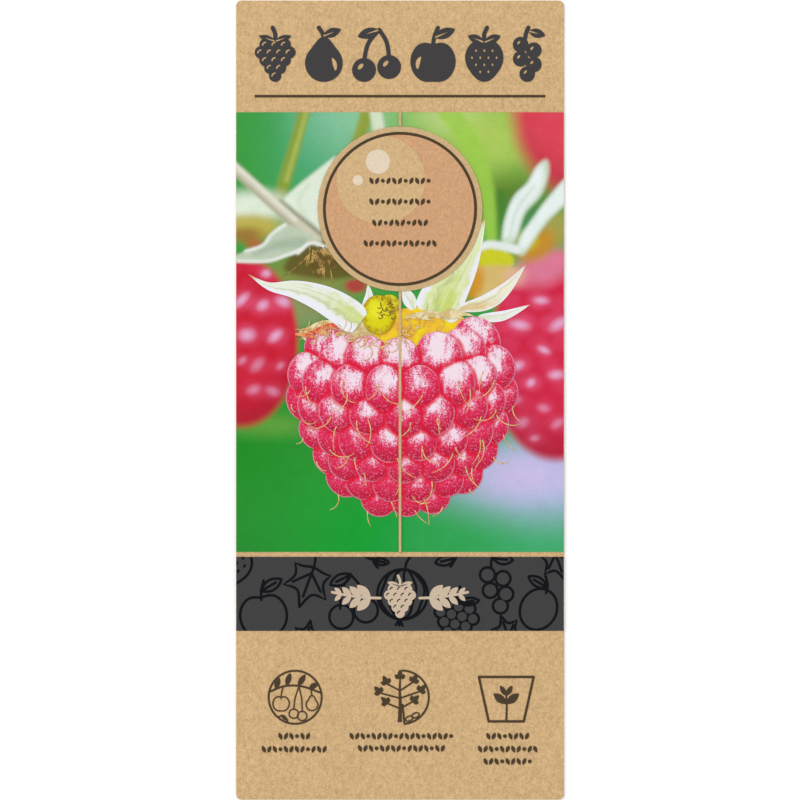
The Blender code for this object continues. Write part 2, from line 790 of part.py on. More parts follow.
def make_header():
    """Row of bold fruits over a rule that spans them."""
    makers = (raspberry, pear, cherries, apple, strawberry, currants)
    fruits = [maker() for maker in makers]
    for maker, fruit, spot in zip(makers, fruits, header_spots(fruits)):
        fruit.solid("header_" + maker.__name__, spot, HEADER_LINE, CARD_FACE, PANEL_FACE, INK)
    half = RULE_LENGTH / 2
    rule = rectangle(-half, RULE_Y - RULE_WIDTH / 2, half, RULE_Y + RULE_WIDTH / 2)
    film("header_rule", [rule], CARD_FACE, PANEL_FACE, INK)


def make_panels():
    """Panels that carry the picture and the band under it."""
    half = CARD_WIDTH / 2
    picture = rectangle(-half, PICTURE_BOTTOM, half, PICTURE_TOP)
    band = rectangle(-half, BAND_BOTTOM, half, BAND_TOP)
    film("picture_panel", [picture], CARD_FACE, PANEL_FACE, GARDEN_GREEN)
    film("name_band", [band], CARD_FACE, PANEL_FACE, INK)


def sepal_outline(points, half_width, fullest):
    """Outline of one long pointed sepal."""

    def shape(t):
        rising = math.sin(math.pi / 2.0 * min((t + SEPAL_FOOT) / (fullest + SEPAL_FOOT), 1.0))
        falling = math.cos(math.pi / 2.0 * max(t - fullest, 0.0) / (1.0 - fullest))
        return half_width * rising * max(falling, SEPAL_TIP) ** SEPAL_FALL

    return blade(curve_path(points, 3), shape)


def ribbon_outline(points, start_width, end_width):
    """Outline of a ribbon that changes its width along a smooth path."""
    left, right = side_points(curve_path(points, 3), lambda t: (start_width + (end_width - start_width) * t) / 2)
    return left + right[::-1]


def picture_film(name, outline, finish, front):
    """Add one flat form of the picture, cut clear of those in front of it."""
    limit = rectangle(-CARD_WIDTH / 2, PICTURE_BOTTOM, CARD_WIDTH / 2, PICTURE_TOP)
    film(name, [outline], PANEL_FACE, PICTURE_FACE, finish, front, within=limit)


def grown(outline, margin=END_GAP):
    """Outline grown by a margin along its own normals."""
    ordered = outline if signed_area(outline) > 0 else outline[::-1]
    result = []
    for index, point in enumerate(ordered):
        before = Vector(ordered[index - 1])
        after = Vector(ordered[(index + 1) % len(ordered)])
        along = (after - before).normalized()
        result.append((point[0] + along.y * margin, point[1] - along.x * margin))
    return result


def make_picture():
    """Ripe berry with its knob, collar and sepals, and the soft forms behind it, from front to back."""
    berry = Berry()
    slot = CENTRE_LINE_WIDTH / 2 + BADGE_GAP
    reach = CARD_WIDTH / 2
    berry_relief("berry_left", berry, RIPE_RED, rectangle(-reach, -reach, -slot, reach))
    berry_relief("berry_right", berry, RIPE_RED, rectangle(slot, -reach, reach, reach))
    front = berry.outlines(END_GAP)
    forms = [
        ("calyx", ellipse(KNOB_PLACE, *KNOB_REACH, 20), CALYX_YELLOW),
        ("collar", curve_path([*COLLAR, COLLAR[0]], 2)[:-1], COLLAR_ORANGE),
    ]
    forms += [(f"sepal_{index + 1}", sepal_outline(*sepal), CREAM) for index, sepal in enumerate(SEPALS)]
    forms += [(f"back_sepal_{index + 1}", ribbon_outline(*sepal), CREAM) for index, sepal in enumerate(BACK_SEPALS)]
    forms += [("soft_berry_" + name, ellipse(place, *size, 28), SOFT_RED) for name, place, size in SOFT_BERRIES]
    for name, outline, finish in forms:
        picture_film(name, outline, finish, front)
        front.append(grown(outline))


def bar(centre, width, height):
    """Outline of a low bar with cut corners, the size of one row of small marks."""
    half = width / 2
    corner = height / 3
    return stroke([(centre[0] - half + corner, centre[1]), (centre[0] + half - corner, centre[1])], height)


def make_badge():
    """Round badge with a ring, a pale glow, two spots and four rows of marks."""
    centre = (0.0, BADGE_Y)
    inner = BADGE_RING_RADIUS - BADGE_RING_WIDTH
    ring_inside = [disc(centre, inner, CIRCLE_STEPS)]
    film("badge_disc", [disc(centre, BADGE_RADIUS, CIRCLE_STEPS)], PICTURE_FACE, BADGE_FACE, KRAFT)
    film("badge_ring", [disc(centre, BADGE_RING_RADIUS, CIRCLE_STEPS)], BADGE_FACE, GLOW_FACE, INK, ring_inside)
    film("badge_face", [disc(centre, inner - BADGE_GAP, CIRCLE_STEPS)], BADGE_FACE, GLOW_FACE, BADGE_TAN)
    limit = disc(centre, inner - BADGE_GAP, CIRCLE_STEPS)
    film("badge_glow", [disc(GLOW_PLACE, GLOW_RADIUS, 32)], GLOW_FACE, MARK_FACE, GLOW_TAN, within=limit)
    mark_top = MARK_FACE + MARK_FILM
    film("badge_spot_large", [disc(LARGE_SPOT_PLACE, LARGE_SPOT_RADIUS, 20)], MARK_FACE, mark_top, SPOT_CREAM)
    film("badge_spot_small", [disc(SMALL_SPOT_PLACE, SMALL_SPOT_RADIUS, 14)], MARK_FACE, mark_top, SPOT_CREAM)
    for index, (y, width) in enumerate(BADGE_ROWS):
        film(f"badge_row_{index + 1}", [bar((0.0, y), width, MARK_HEIGHT)], MARK_FACE, mark_top, INK)


def make_centre_line():
    """Thin line down the middle of the picture, above and below the badge."""
    half = CENTRE_LINE_WIDTH / 2
    top = PICTURE_FACE + CENTRE_LINE_HEIGHT
    badge_top = BADGE_Y + BADGE_RADIUS + END_GAP
    badge_bottom = BADGE_Y - BADGE_RADIUS - END_GAP
    film("line_upper", [rectangle(-half, badge_top, half, PICTURE_TOP)], PICTURE_FACE, top, KRAFT)
    film("line_lower", [rectangle(-half, PICTURE_BOTTOM, half, badge_bottom)], PICTURE_FACE, top, KRAFT)


def make_band():
    """Line drawings of fruit along the band, and a tan berry between two sprigs in its middle."""
    limit = rectangle(-CARD_WIDTH / 2, BAND_BOTTOM, CARD_WIDTH / 2, BAND_TOP)
    for maker, (x, rise), size, turn in BAND_MOTIFS:
        spot = Spot((x, BAND_MIDDLE + rise), size, turn)
        maker().outlined("band_" + maker.__name__, spot, BAND_LINE, PANEL_FACE, BAND_LINE_FACE, BAND_BLACK, limit)
    spot = Spot((0.0, BAND_MIDDLE), NAME_BERRY_SIZE)
    raspberry().solid("name_berry", spot, BAND_LINE, BAND_LINE_FACE, PICTURE_FACE, BAND_TAN)
    for name, direction in (("name_sprig_left", -1), ("name_sprig_right", 1)):
        foot = (direction * (NAME_BERRY_SIZE / 2 + END_GAP), BAND_MIDDLE - NAME_SPRIG_DROP)
        shapes = sprig(foot, direction, NAME_SPRIG_LENGTH, NAME_SPRIG_PAIRS, BAND_LINE)
        film(name, shapes, BAND_LINE_FACE, PICTURE_FACE, BAND_TAN)


def make_ring_icon():
    """Ring round a branch with an apple, a pair of cherries and a pear."""
    spot = Spot((RING_ICON_X, ICON_Y), 1.0)
    over = [stroke(spot.put(curve_path([(-5.6, 1.1), (-2.2, 2.4), (1.6, 2.3), (5.6, 0.9)], 3)), ICON_LINE)]
    leaf_ends = (
        ((-4.2, 1.7), (-3.4, 4.3)), ((-1.9, 2.4), (-1.0, 5.2)), ((0.6, 2.4), (2.2, 4.9)), ((3.0, 2.0), (4.9, 2.9)),
    )
    over += [spot.put(leaf_outline(base, tip, 0.62)) for base, tip in leaf_ends]
    apple_body = polar_outline(-1.35, lambda a: 1.75 - 0.35 * bump(a, 0.0, 0.45) - 0.2 * bump(a, math.pi, 0.4), 14)
    pear_body = polar_outline(-1.6, lambda a: 1.25 + 0.75 * bump(a, 0.0, 0.42), 14)
    closed = [[(x - 3.0, y) for x, y in apple_body], [(x + 3.6, y) for x, y in pear_body]]
    closed += [disc(place, 1.0, 10) for place in ((-0.3, -3.5), (1.5, -4.0))]
    for outline in closed:
        over += closed_stroke(spot.put(outline), ICON_FINE_LINE)
    stalks = (
        ((-3.0, -0.3), (-2.9, 1.0), (-2.5, 2.2)),
        ((3.6, 0.3), (3.5, 1.0), (3.3, 1.8)),
        ((-0.3, -2.6), (0.0, -0.2), (0.8, 2.3)),
        ((1.5, -3.1), (1.4, -0.4), (0.8, 2.3)),
    )
    over += [stroke(spot.put(curve_path(points, 2)), ICON_FINE_LINE) for points in stalks]
    outer = disc(spot.place, RING_ICON_RADIUS, 32)
    inner = disc(spot.place, RING_ICON_RADIUS - ICON_LINE, 32)
    film("icon_ring", [outer], CARD_FACE, PANEL_FACE, INK, [inner], over)


def make_shrub_icon():
    """Leafy shrub in front of a half ring with two stones at its foot."""
    spot = Spot((SHRUB_ICON_X, ICON_Y), 1.0)
    trunk = curve_path([(-0.05, -5.3), (0.05, -1.5), (-0.05, 1.5), (0.05, 4.2)], 2)
    shapes = [spot.put(blade(trunk, lambda t: 0.44 - 0.28 * t))]
    steps = 12
    arc = []
    for step in range(steps + 1):
        angle = math.radians(90.0 - 175.0 * step / steps)
        arc.append((0.45 + SHRUB_ICON_RADIUS * math.cos(angle), SHRUB_ICON_RADIUS * math.sin(angle)))
    shapes.append(stroke(spot.put(arc), ICON_LINE))
    shapes.append(stroke(spot.put([arc[-1], (0.55, -1.6)]), ICON_LINE))
    for place in ((1.95, -4.55), (3.30, -3.85)):
        shapes += closed_stroke(spot.put(ellipse(place, 0.82, 0.50, 10, math.radians(24.0))), ICON_FINE_LINE)
    crowns = [((0.0, 4.0), 90.0)]
    branches = (((0.0, -2.4), (2.7, -1.3), 45.0), ((0.0, -0.2), (4.2, 0.9), 42.0), ((0.0, 1.4), (2.8, 2.9), 25.0))
    for side in (-1, 1):
        for foot, end, lean in branches:
            tip = (side * end[0], end[1] + (SHRUB_LIFT if side > 0 else 0.0))
            shapes.append(stroke(spot.put([foot, tip]), ICON_BRANCH))
            crowns.append((tip, 90.0 - side * lean))
    for tip, heading in crowns:
        for lean, length in ((-55.0, 1.35), (0.0, 1.9), (55.0, 1.35)):
            angle = math.radians(heading + lean)
            end = (tip[0] + length * math.cos(angle), tip[1] + length * math.sin(angle))
            shapes.append(spot.put(leaf_outline(tip, end, 0.50, 3)))
    film("icon_shrub", shapes, CARD_FACE, PANEL_FACE, INK)


def make_pot_icon():
    """Outline of a pot that widens to its rim, with a sprout in it."""
    spot = Spot((POT_ICON_X, ICON_Y - POT_DROP), 1.0)
    top, foot, rim = POT_TOP_WIDTH / 2, POT_FOOT_WIDTH / 2, POT_HEIGHT / 2
    corners = [(-top, rim), (-foot, -rim), (foot, -rim), (top, rim)]
    shapes = [stroke(spot.put(side), POT_LINE) for side in zip(corners, corners[1:] + corners[:1])]
    shapes.append(stroke(spot.put(curve_path([(0.0, -rim), (0.1, -1.8), (0.0, 0.9)], 2)), ICON_LINE))
    for side in (-1, 1):
        shapes.append(spot.put(leaf_outline((0.05, -1.0), (side * 2.7, 1.2), 0.85)))
        shapes.append(spot.put(leaf_outline((0.0, 0.7), (side * 1.3, 2.9), 0.55)))
    film("icon_pot", shapes, CARD_FACE, PANEL_FACE, INK)


def make_footer():
    """Three icons, each over its rows of marks."""
    make_ring_icon()
    make_shrub_icon()
    make_pot_icon()
    for column, x, rows in CAPTION_COLUMNS:
        for index, (y, width) in enumerate(rows):
            film(f"caption_{column}_{index + 1}", [bar((x, y), width, MARK_HEIGHT)], CARD_FACE, PANEL_FACE, INK)


def main():
    """Build the label from the card up."""
    clear_scene()
    make_card()
    make_header()
    make_panels()
    make_picture()
    make_badge()
    make_centre_line()
    make_band()
    make_footer()


main()
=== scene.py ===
"""Looks of a printed plant label with a raspberry picture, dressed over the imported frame.

Outlines and places are in millimetres: X across the card, Y along it towards the header, Z up.
"""

import logging
from collections.abc import Callable, Sequence
from dataclasses import dataclass, field
from enum import Enum
from functools import cache
from math import atan2, cos, exp, pi, radians, sin, sqrt

import bmesh
import bpy
import numpy as np
from bpy.types import ID, Material, Mesh, Node, NodeSocket as Socket, NodeTree, Object
from mathutils import Euler, Matrix, Vector
from mathutils.geometry import delaunay_2d_cdt


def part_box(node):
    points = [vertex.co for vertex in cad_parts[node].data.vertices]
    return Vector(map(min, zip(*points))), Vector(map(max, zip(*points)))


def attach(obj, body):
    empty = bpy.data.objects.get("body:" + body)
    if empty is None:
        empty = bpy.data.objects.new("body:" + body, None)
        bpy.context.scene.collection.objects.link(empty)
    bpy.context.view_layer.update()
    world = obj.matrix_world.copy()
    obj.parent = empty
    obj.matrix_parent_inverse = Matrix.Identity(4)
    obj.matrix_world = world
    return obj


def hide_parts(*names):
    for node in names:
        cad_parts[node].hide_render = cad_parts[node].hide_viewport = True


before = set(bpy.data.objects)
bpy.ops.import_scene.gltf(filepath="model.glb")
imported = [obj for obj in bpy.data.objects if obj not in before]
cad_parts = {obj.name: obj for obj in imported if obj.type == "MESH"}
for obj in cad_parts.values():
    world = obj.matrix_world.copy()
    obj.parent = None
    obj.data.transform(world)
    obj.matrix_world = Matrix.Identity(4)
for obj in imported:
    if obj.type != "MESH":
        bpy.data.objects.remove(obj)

Point = tuple[float, float]
Outline = list[Point]
Widths = Callable[[float], float]
Colour = tuple[float, float, float]
Shade = tuple[int, int, int]

MM = 0.001
MERGE_LIMIT = 1e-4
CARD_LIGHT = 1.19
STRAND_DEPTH = 0.02

log = logging.getLogger("label")


def linear(red: int, green: int, blue: int) -> Colour:
    """Turn a print's screen colour of 0 to 255 into the linear colour of its ink under the studio's light.

    Args:
        red: Red value.
        green: Green value.
        blue: Blue value.

    Returns:
        The three linear values.
    """
    shares = [value / 255.0 for value in (red, green, blue)]
    light = [((share + 0.055) / 1.055) ** 2.4 if share > 0.04 else share / 12.92 for share in shares]
    return tuple(value / CARD_LIGHT for value in light)


@dataclass(frozen=True)
class Area:
    """Box that one or more CAD nodes fill, in millimetres."""

    left: float
    bottom: float
    low: float
    right: float
    top: float
    high: float

    @classmethod
    def of(cls, *nodes: str) -> "Area":
        """Read the box from the frame.

        Args:
            *nodes: Names of the CAD nodes.

        Returns:
            The box round all of them.
        """
        boxes = [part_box(node) for node in nodes]
        lows = [min(low[axis] for low, _ in boxes) / MM for axis in range(3)]
        highs = [max(high[axis] for _, high in boxes) / MM for axis in range(3)]
        return cls(*lows, *highs)

    @property
    def middle(self) -> Point:
        """Middle of the box in plan."""
        return ((self.left + self.right) / 2, (self.bottom + self.top) / 2)

    @property
    def width(self) -> float:
        """Width of the box across the card."""
        return self.right - self.left

    @property
    def length(self) -> float:
        """Length of the box along the card."""
        return self.top - self.bottom

    def outline(self) -> Outline:
        """Outline of the box in plan."""
        across, along = (self.left, self.right), (self.bottom, self.top)
        return [(across[x], along[y]) for x, y in ((0, 0), (1, 0), (1, 1), (0, 1))]


def ellipse(middle: Point, across: float, along: float, steps: int = 32, turn: float = 0.0) -> Outline:
    """Draw an ellipse.

    Args:
        middle: Its middle.
        across: Its reach in X before it is turned.
        along: Its reach in Y before it is turned.
        steps: Number of its points.
        turn: Angle that it is turned by, in degrees.

    Returns:
        Its outline.
    """
    cosine, sine = cos(radians(turn)), sin(radians(turn))
    outline = []
    for step in range(steps):
        angle = 2.0 * pi * step / steps
        x, y = across * cos(angle), along * sin(angle)
        outline.append((middle[0] + x * cosine - y * sine, middle[1] + x * sine + y * cosine))
    return outline


def disc(middle: Point, radius: float, steps: int = 32) -> Outline:
    """Outline of a circle."""
    return ellipse(middle, radius, radius, steps)


def curve_path(points: Sequence[Point], steps: int = 8) -> Outline:
    """Draw a smooth path through a few points.

    Args:
        points: Points that the path goes through.
        steps: Steps between each two of them.

    Returns:
        The points along the path.
    """
    path = []
    last = len(points) - 1
    for index in range(last):
        before, start, end, after = (Vector(points[min(max(index + k, 0), last)]) for k in (-1, 0, 1, 2))
        for step in range(steps):
            t = step / steps
            point = start * 2.0 + (end - before) * t
            point += (before * 2.0 - start * 5.0 + end * 4.0 - after) * t ** 2
            point += (start * 3.0 - before - end * 3.0 + after) * t ** 3
            path.append(tuple(point / 2.0))
    path.append(tuple(points[last]))
    return path


def bent_path(start: Point, heading: float, length: float, bend: float, steps: int = 16) -> Outline:
    """Draw a path that turns steadily.

    Args:
        start: Its first point.
        heading: Direction that it leaves in, in degrees.
        length: Its length.
        bend: Angle that it turns by in all, in degrees.
        steps: Number of its steps.

    Returns:
        The points along the path.
    """
    path = [tuple(start)]
    x, y = start
    for step in range(steps):
        angle = radians(heading + bend * (step + 0.5) / steps)
        x += length / steps * cos(angle)
        y += length / steps * sin(angle)
        path.append((x, y))
    return path


def side_points(path: Outline, half_width: Widths) -> tuple[Outline, Outline]:
    """Find the points on both sides of a path.

    Args:
        path: Points along it.
        half_width: Distance to each side at a share of the way.

    Returns:
        The points on its left and on its right.
    """
    left, right = [], []
    last = len(path) - 1
    for index, point in enumerate(path):
        along = (Vector(path[min(index + 1, last)]) - Vector(path[max(index - 1, 0)])).normalized()
        across = Vector((-along.y, along.x)) * half_width(index / last)
        left.append(tuple(Vector(point) + across))
        right.append(tuple(Vector(point) - across))
    return left, right


def blade(path: Outline, half_width: Widths) -> Outline:
    """Outline of a blade that ends in a point, from the path along its middle."""
    left, right = side_points(path, half_width)
    return left[:-1] + [tuple(path[-1])] + right[-2::-1]


def stroke(path: Outline, width: float) -> Outline:
    """Draw a line of even width with rounded ends.

    Args:
        path: Points along its middle.
        width: Its width.

    Returns:
        Its outline.
    """
    left, right = side_points(path, lambda _: width / 2)
    caps = []
    for tip, inner in ((path[-1], path[-2]), (path[0], path[1])):
        heading = atan2(tip[1] - inner[1], tip[0] - inner[0])
        caps.append([
            (tip[0] + width / 2 * cos(heading + turn), tip[1] + width / 2 * sin(heading + turn))
            for turn in (pi / 4, 0.0, -pi / 4)
        ])
    return [*left, *caps[0], *right[::-1], *caps[1]]


def leaf_outline(base: Point, tip: Point, half_width: float, steps: int = 12) -> Outline:
    """Outline of a plain leaf from its base to its tip."""
    path = [tuple(Vector(base).lerp(Vector(tip), step / steps)) for step in range(steps + 1)]
    return blade(path, lambda t: half_width * max(max(sin(pi * t), 0.0) ** 0.8, 0.15 * (1 - t)))


@dataclass(frozen=True)
class Spot:
    """Place, size and turn in degrees of a drawing made at unit size."""

    place: Point
    size: float
    turn: float = 0.0

    def put(self, outline: Outline) -> Outline:
        """Put a unit drawing in its place.

        Args:
            outline: Outline at unit size.

        Returns:
            The outline scaled, turned and moved.
        """
        across = self.size * cos(radians(self.turn))
        along = self.size * sin(radians(self.turn))
        left, low = self.place
        return [(left + x * across - y * along, low + x * along + y * across) for x, y in outline]


def closed_stroke(outline: Outline, width: float) -> list[Outline]:
    """Line round a closed outline, as two strokes that share their ends."""
    half = len(outline) // 2
    return [stroke(outline[:half + 1], width), stroke([*outline[half:], outline[0]], width)]


def shrunk(outline: Outline, margin: float) -> Outline:
    """Draw a round outline in towards its middle.

    Args:
        outline: Outline of a rounded shape.
        margin: Distance that it is drawn in by.

    Returns:
        The smaller outline.
    """
    middle = sum((Vector(point) for point in outline), Vector((0.0, 0.0))) / len(outline)
    arms = [Vector(point) - middle for point in outline]
    return [tuple(middle + arm * (1.0 - margin / arm.length)) for arm in arms]


def signed_area(outline: Outline) -> float:
    """Area of an outline, positive where it runs anticlockwise."""
    return sum(a[0] * b[1] - b[0] * a[1] for a, b in zip(outline, outline[1:] + outline[:1])) / 2.0


@dataclass
class Layers:
    """Outlines of a flat print: shapes, cuts taken out of them, lines laid over both, and a limit."""

    shapes: list[Outline] = field(default_factory=list)
    cuts: list[Outline] = field(default_factory=list)
    over: list[Outline] = field(default_factory=list)
    limit: Outline | None = None

    def faces(self) -> tuple[list[Vector], list[list[int]]]:
        """Find the area that is printed.

        Returns:
            Its points and its triangles.
        """
        points: list[Vector] = []
        polygons: list[list[int]] = []
        kinds: list[str] = []
        limits = [self.limit] if self.limit else []
        groups = {"shape": self.shapes, "cut": self.cuts, "over": self.over, "limit": limits}
        for kind, outlines in groups.items():
            for outline in outlines:
                ordered = outline if signed_area(outline) > 0 else outline[::-1]
                polygons.append(list(range(len(points), len(points) + len(outline))))
                points.extend(Vector(point) for point in ordered)
                kinds.append(kind)
        result = delaunay_2d_cdt(points, [], polygons, 1, MERGE_LIMIT)
        faces = []
        for face, sources in zip(result[2], result[5]):
            owners = {kinds[source] for source in sources}
            printed = "over" in owners or ("shape" in owners and "cut" not in owners)
            if printed and (self.limit is None or "limit" in owners):
                faces.append(list(face))
        return result[0], faces


def closed_mesh(name: str, bm: bmesh.types.BMesh) -> Mesh:
    """Make a mesh from the faces of a bmesh, and free that.

    Args:
        name: Name of the mesh.
        bm: The faces.

    Returns:
        The mesh.
    """
    mesh = bpy.data.meshes.new(name)
    bm.to_mesh(mesh)
    bm.free()
    return mesh


def film_mesh(name: str, layers: Layers, low: float, high: float) -> Mesh:
    """Make a flat printed layer.

    Args:
        name: Name of the mesh.
        layers: Outlines of the print.
        low: Height of its underside.
        high: Height of its face.

    Returns:
        The closed mesh.
    """
    points, faces = layers.faces()
    bm = bmesh.new()
    used = sorted({index for face in faces for index in face})
    under = {index: bm.verts.new((points[index].x * MM, points[index].y * MM, low * MM)) for index in used}
    over = {index: bm.verts.new((points[index].x * MM, points[index].y * MM, high * MM)) for index in used}
    edges = {pair for face in faces for pair in zip(face, face[1:] + face[:1])}
    for face in faces:
        bm.faces.new([over[index] for index in face])
        bm.faces.new([under[index] for index in reversed(face)])
    for start, end in sorted(edges):
        if (end, start) not in edges:
            bm.faces.new((under[start], under[end], over[end], over[start]))
    return closed_mesh(name, bm)


def grid_mesh(name: str, flat: np.ndarray, low: float, high: float) -> tuple[Mesh, np.ndarray]:
    """Make a thin closed panel from rows and columns of points.

    Args:
        name: Name of the mesh.
        flat: X and Y of each point, by row and column.
        low: Height of its underside.
        high: Height of its face.

    Returns:
        The mesh, and the number of the grid's point that each of its points lies on.
    """
    index = np.arange(flat.shape[0] * flat.shape[1]).reshape(flat.shape[:2])
    quads = np.stack([index[:-1, :-1], index[:-1, 1:], index[1:, 1:], index[1:, :-1]], -1).reshape(-1, 4)
    rim = np.concatenate([index[0, :-1], index[:-1, -1], index[-1, :0:-1], index[:0:-1, 0]])
    lower = index.size + np.arange(len(rim))
    walls = np.stack([lower, np.roll(lower, -1), np.roll(rim, -1), rim], -1)
    owner = np.concatenate([index.ravel(), rim])
    height = np.where(np.arange(len(owner)) < index.size, high, low)
    places = np.column_stack([flat.reshape(-1, 2)[owner], height]) * MM
    mesh = bpy.data.meshes.new(name)
    mesh.from_pydata(places.tolist(), [], [*quads.tolist(), *walls.tolist(), lower[::-1].tolist()])
    return mesh, owner


def sheet_mesh(
    name: str, path: Outline, half_width: Widths, low: float, high: float, columns: int = 9
) -> Mesh:
    """Make a thin closed sheet along a path, with a UV map that follows it.

    Args:
        name: Name of the mesh.
        path: Points along its middle.
        half_width: Half of its width at a share of the way.
        low: Height of its underside.
        high: Height of its face.
        columns: Number of points across it.

    Returns:
        The mesh, with U across the sheet and V along it.
    """
    left, right = (np.array(side)[:, None] for side in side_points(path, half_width))
    across, along = np.meshgrid(np.linspace(0.0, 1.0, columns), np.linspace(0.0, 1.0, len(path)))
    mesh, owner = grid_mesh(name, left + (right - left) * across[..., None], low, high)
    corners = np.empty(len(mesh.loops), np.int32)
    mesh.loops.foreach_get("vertex_index", corners)
    spots = np.stack([across.ravel(), along.ravel()], -1)[owner[corners]]
    mesh.uv_layers.new(name="UVMap").data.foreach_set("uv", spots.astype(np.float32).ravel())
    return mesh


def linked(name: str, data: ID) -> Object:
    """Put a new object in the scene.

    Args:
        name: Its name.
        data: Mesh, lamp or camera that it holds.

    Returns:
        The object.
    """
    item = bpy.data.objects.new(name, data)
    bpy.context.scene.collection.objects.link(item)
    return item


def add_piece(name: str, mesh: Mesh, material: Material, slot: str, *nodes: str) -> None:
    """Link a finished mesh as a piece that rides on the card.

    Args:
        name: Name of the piece.
        mesh: Its mesh, in place.
        material: Its finish.
        slot: Not used.
        *nodes: CAD nodes that the piece stands for.
    """
    mesh.materials.clear()
    mesh.materials.append(material)
    piece = linked(name, mesh)
    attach(piece, "root")
    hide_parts(*nodes)
    log.info("%s: %d faces for %s", name, len(mesh.polygons), ", ".join(nodes) or "no node")


def dress_node(node: str, material: Material) -> None:
    """Give a CAD node that stays its finish.

    Args:
        node: Name of the node.
        material: Its finish.
    """
    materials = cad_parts[node].data.materials
    materials.clear()
    materials.append(material)
    log.info("%s: CAD node with its finish", node)


class Network:
    """Node group that short calls add nodes to."""

    def __init__(self, group: NodeTree) -> None:
        """Start on a node group."""
        self.group = group

    def add(self, kind: str, values: dict | None = None, **settings: str | bool) -> Node:
        """Add a node.

        Args:
            kind: Its type, without the prefix.
            values: Sockets or plain values for its inputs, by name or number.
            **settings: Its own options.

        Returns:
            The node.
        """
        prefix = "ShaderNode" if hasattr(bpy.types, "ShaderNode" + kind) else "GeometryNode"
        node = self.group.nodes.new(prefix + kind)
        for key, value in settings.items():
            setattr(node, key, value)
        for key, value in (values or {}).items():
            if isinstance(value, Socket):
                self.group.links.new(value, node.inputs[key])
            else:
                node.inputs[key].default_value = value
        return node

    def math(self, operation: str, *terms: Socket | float) -> Socket:
        """Result of one sum on up to three values."""
        return self.add("Math", dict(enumerate(terms)), operation=operation).outputs[0]


class Surface(Network):
    """Principled material with short calls for its patterns, in millimetres."""

    def __init__(self, name: str, roughness: float, gloss: float) -> None:
        """Start a material.

        Args:
            name: Its name.
            roughness: Roughness of the print.
            gloss: Specular level of the print.
        """
        self.material = bpy.data.materials.new(name)
        self.material.use_nodes = True
        super().__init__(self.material.node_tree)
        self.shader = self.group.nodes["Principled BSDF"]
        self.shader.inputs["Roughness"].default_value = roughness
        self.shader.inputs["Specular IOR Level"].default_value = gloss
        self.object_place = self.add("TexCoord").outputs["Object"]

    def noise(
        self, scale: float, detail: float = 3.0, stretch: tuple = (1.0, 1.0, 1.0), shift: float = 0.0
    ) -> Socket:
        """Fine irregular pattern.

        Args:
            scale: Features in a millimetre.
            detail: How many finer patterns it holds.
            stretch: Scale of the pattern along each axis.
            shift: Distance that sets it apart from others of its scale.

        Returns:
            Its value, about 0.5 on average.
        """
        values = {"Vector": self.object_place, "Scale": tuple(part / MM for part in stretch)}
        place = self.add("Mapping", {**values, "Location": (shift, shift * 0.7, 0.0)}).outputs[0]
        return self.add("TexNoise", {"Vector": place, "Scale": scale, "Detail": detail}).outputs["Fac"]

    def step(self, value: Socket, start: float, end: float, top: float = 1.0) -> Socket:
        """Smooth step of a value, from 0 at the start to its top at the end."""
        values = {"Value": value, "From Min": start, "From Max": end, "To Max": top}
        return self.add("MapRange", values, interpolation_type="SMOOTHSTEP").outputs["Result"]

    def mix(self, share: Socket | float, first: Socket | Colour, second: Socket | Colour) -> Socket:
        """Blend of two colours, share being that of the second."""
        ends = [value if isinstance(value, Socket) else (*value, 1.0) for value in (first, second)]
        return self.add("Mix", {0: share, 6: ends[0], 7: ends[1]}, data_type="RGBA").outputs[2]

    def brighten(self, colour: Socket | Colour, factor: Socket) -> Socket:
        """Colour times a factor."""
        return self.add("VectorMath", {0: colour, "Scale": factor}, operation="SCALE").outputs[0]

    def vary(self, colour: Socket | Colour, pattern: Socket, amount: float) -> Socket:
        """Colour made lighter and darker by a pattern, an amount in all."""
        return self.brighten(colour, self.math("MULTIPLY_ADD", pattern, amount, 1.0 - amount / 2))

    def attribute(self, name: str, output: str = "Fac") -> Socket:
        """Value that the mesh stores under a name."""
        return self.add("Attribute", attribute_name=name).outputs[output]

    def finish(self, colour: Socket, relief: Socket | None = None, depth: float = 0.0) -> Material:
        """Join the colour and the relief to the shader.

        Args:
            colour: Colour of the surface.
            relief: Height pattern, or None.
            depth: Depth of the relief in millimetres.

        Returns:
            The finished material.
        """
        self.group.links.new(colour, self.shader.inputs["Base Color"])
        if relief is not None:
            bump = self.add("Bump", {"Height": relief, "Strength": 1.0, "Distance": depth * MM})
            self.group.links.new(bump.outputs["Normal"], self.shader.inputs["Normal"])
        return self.material


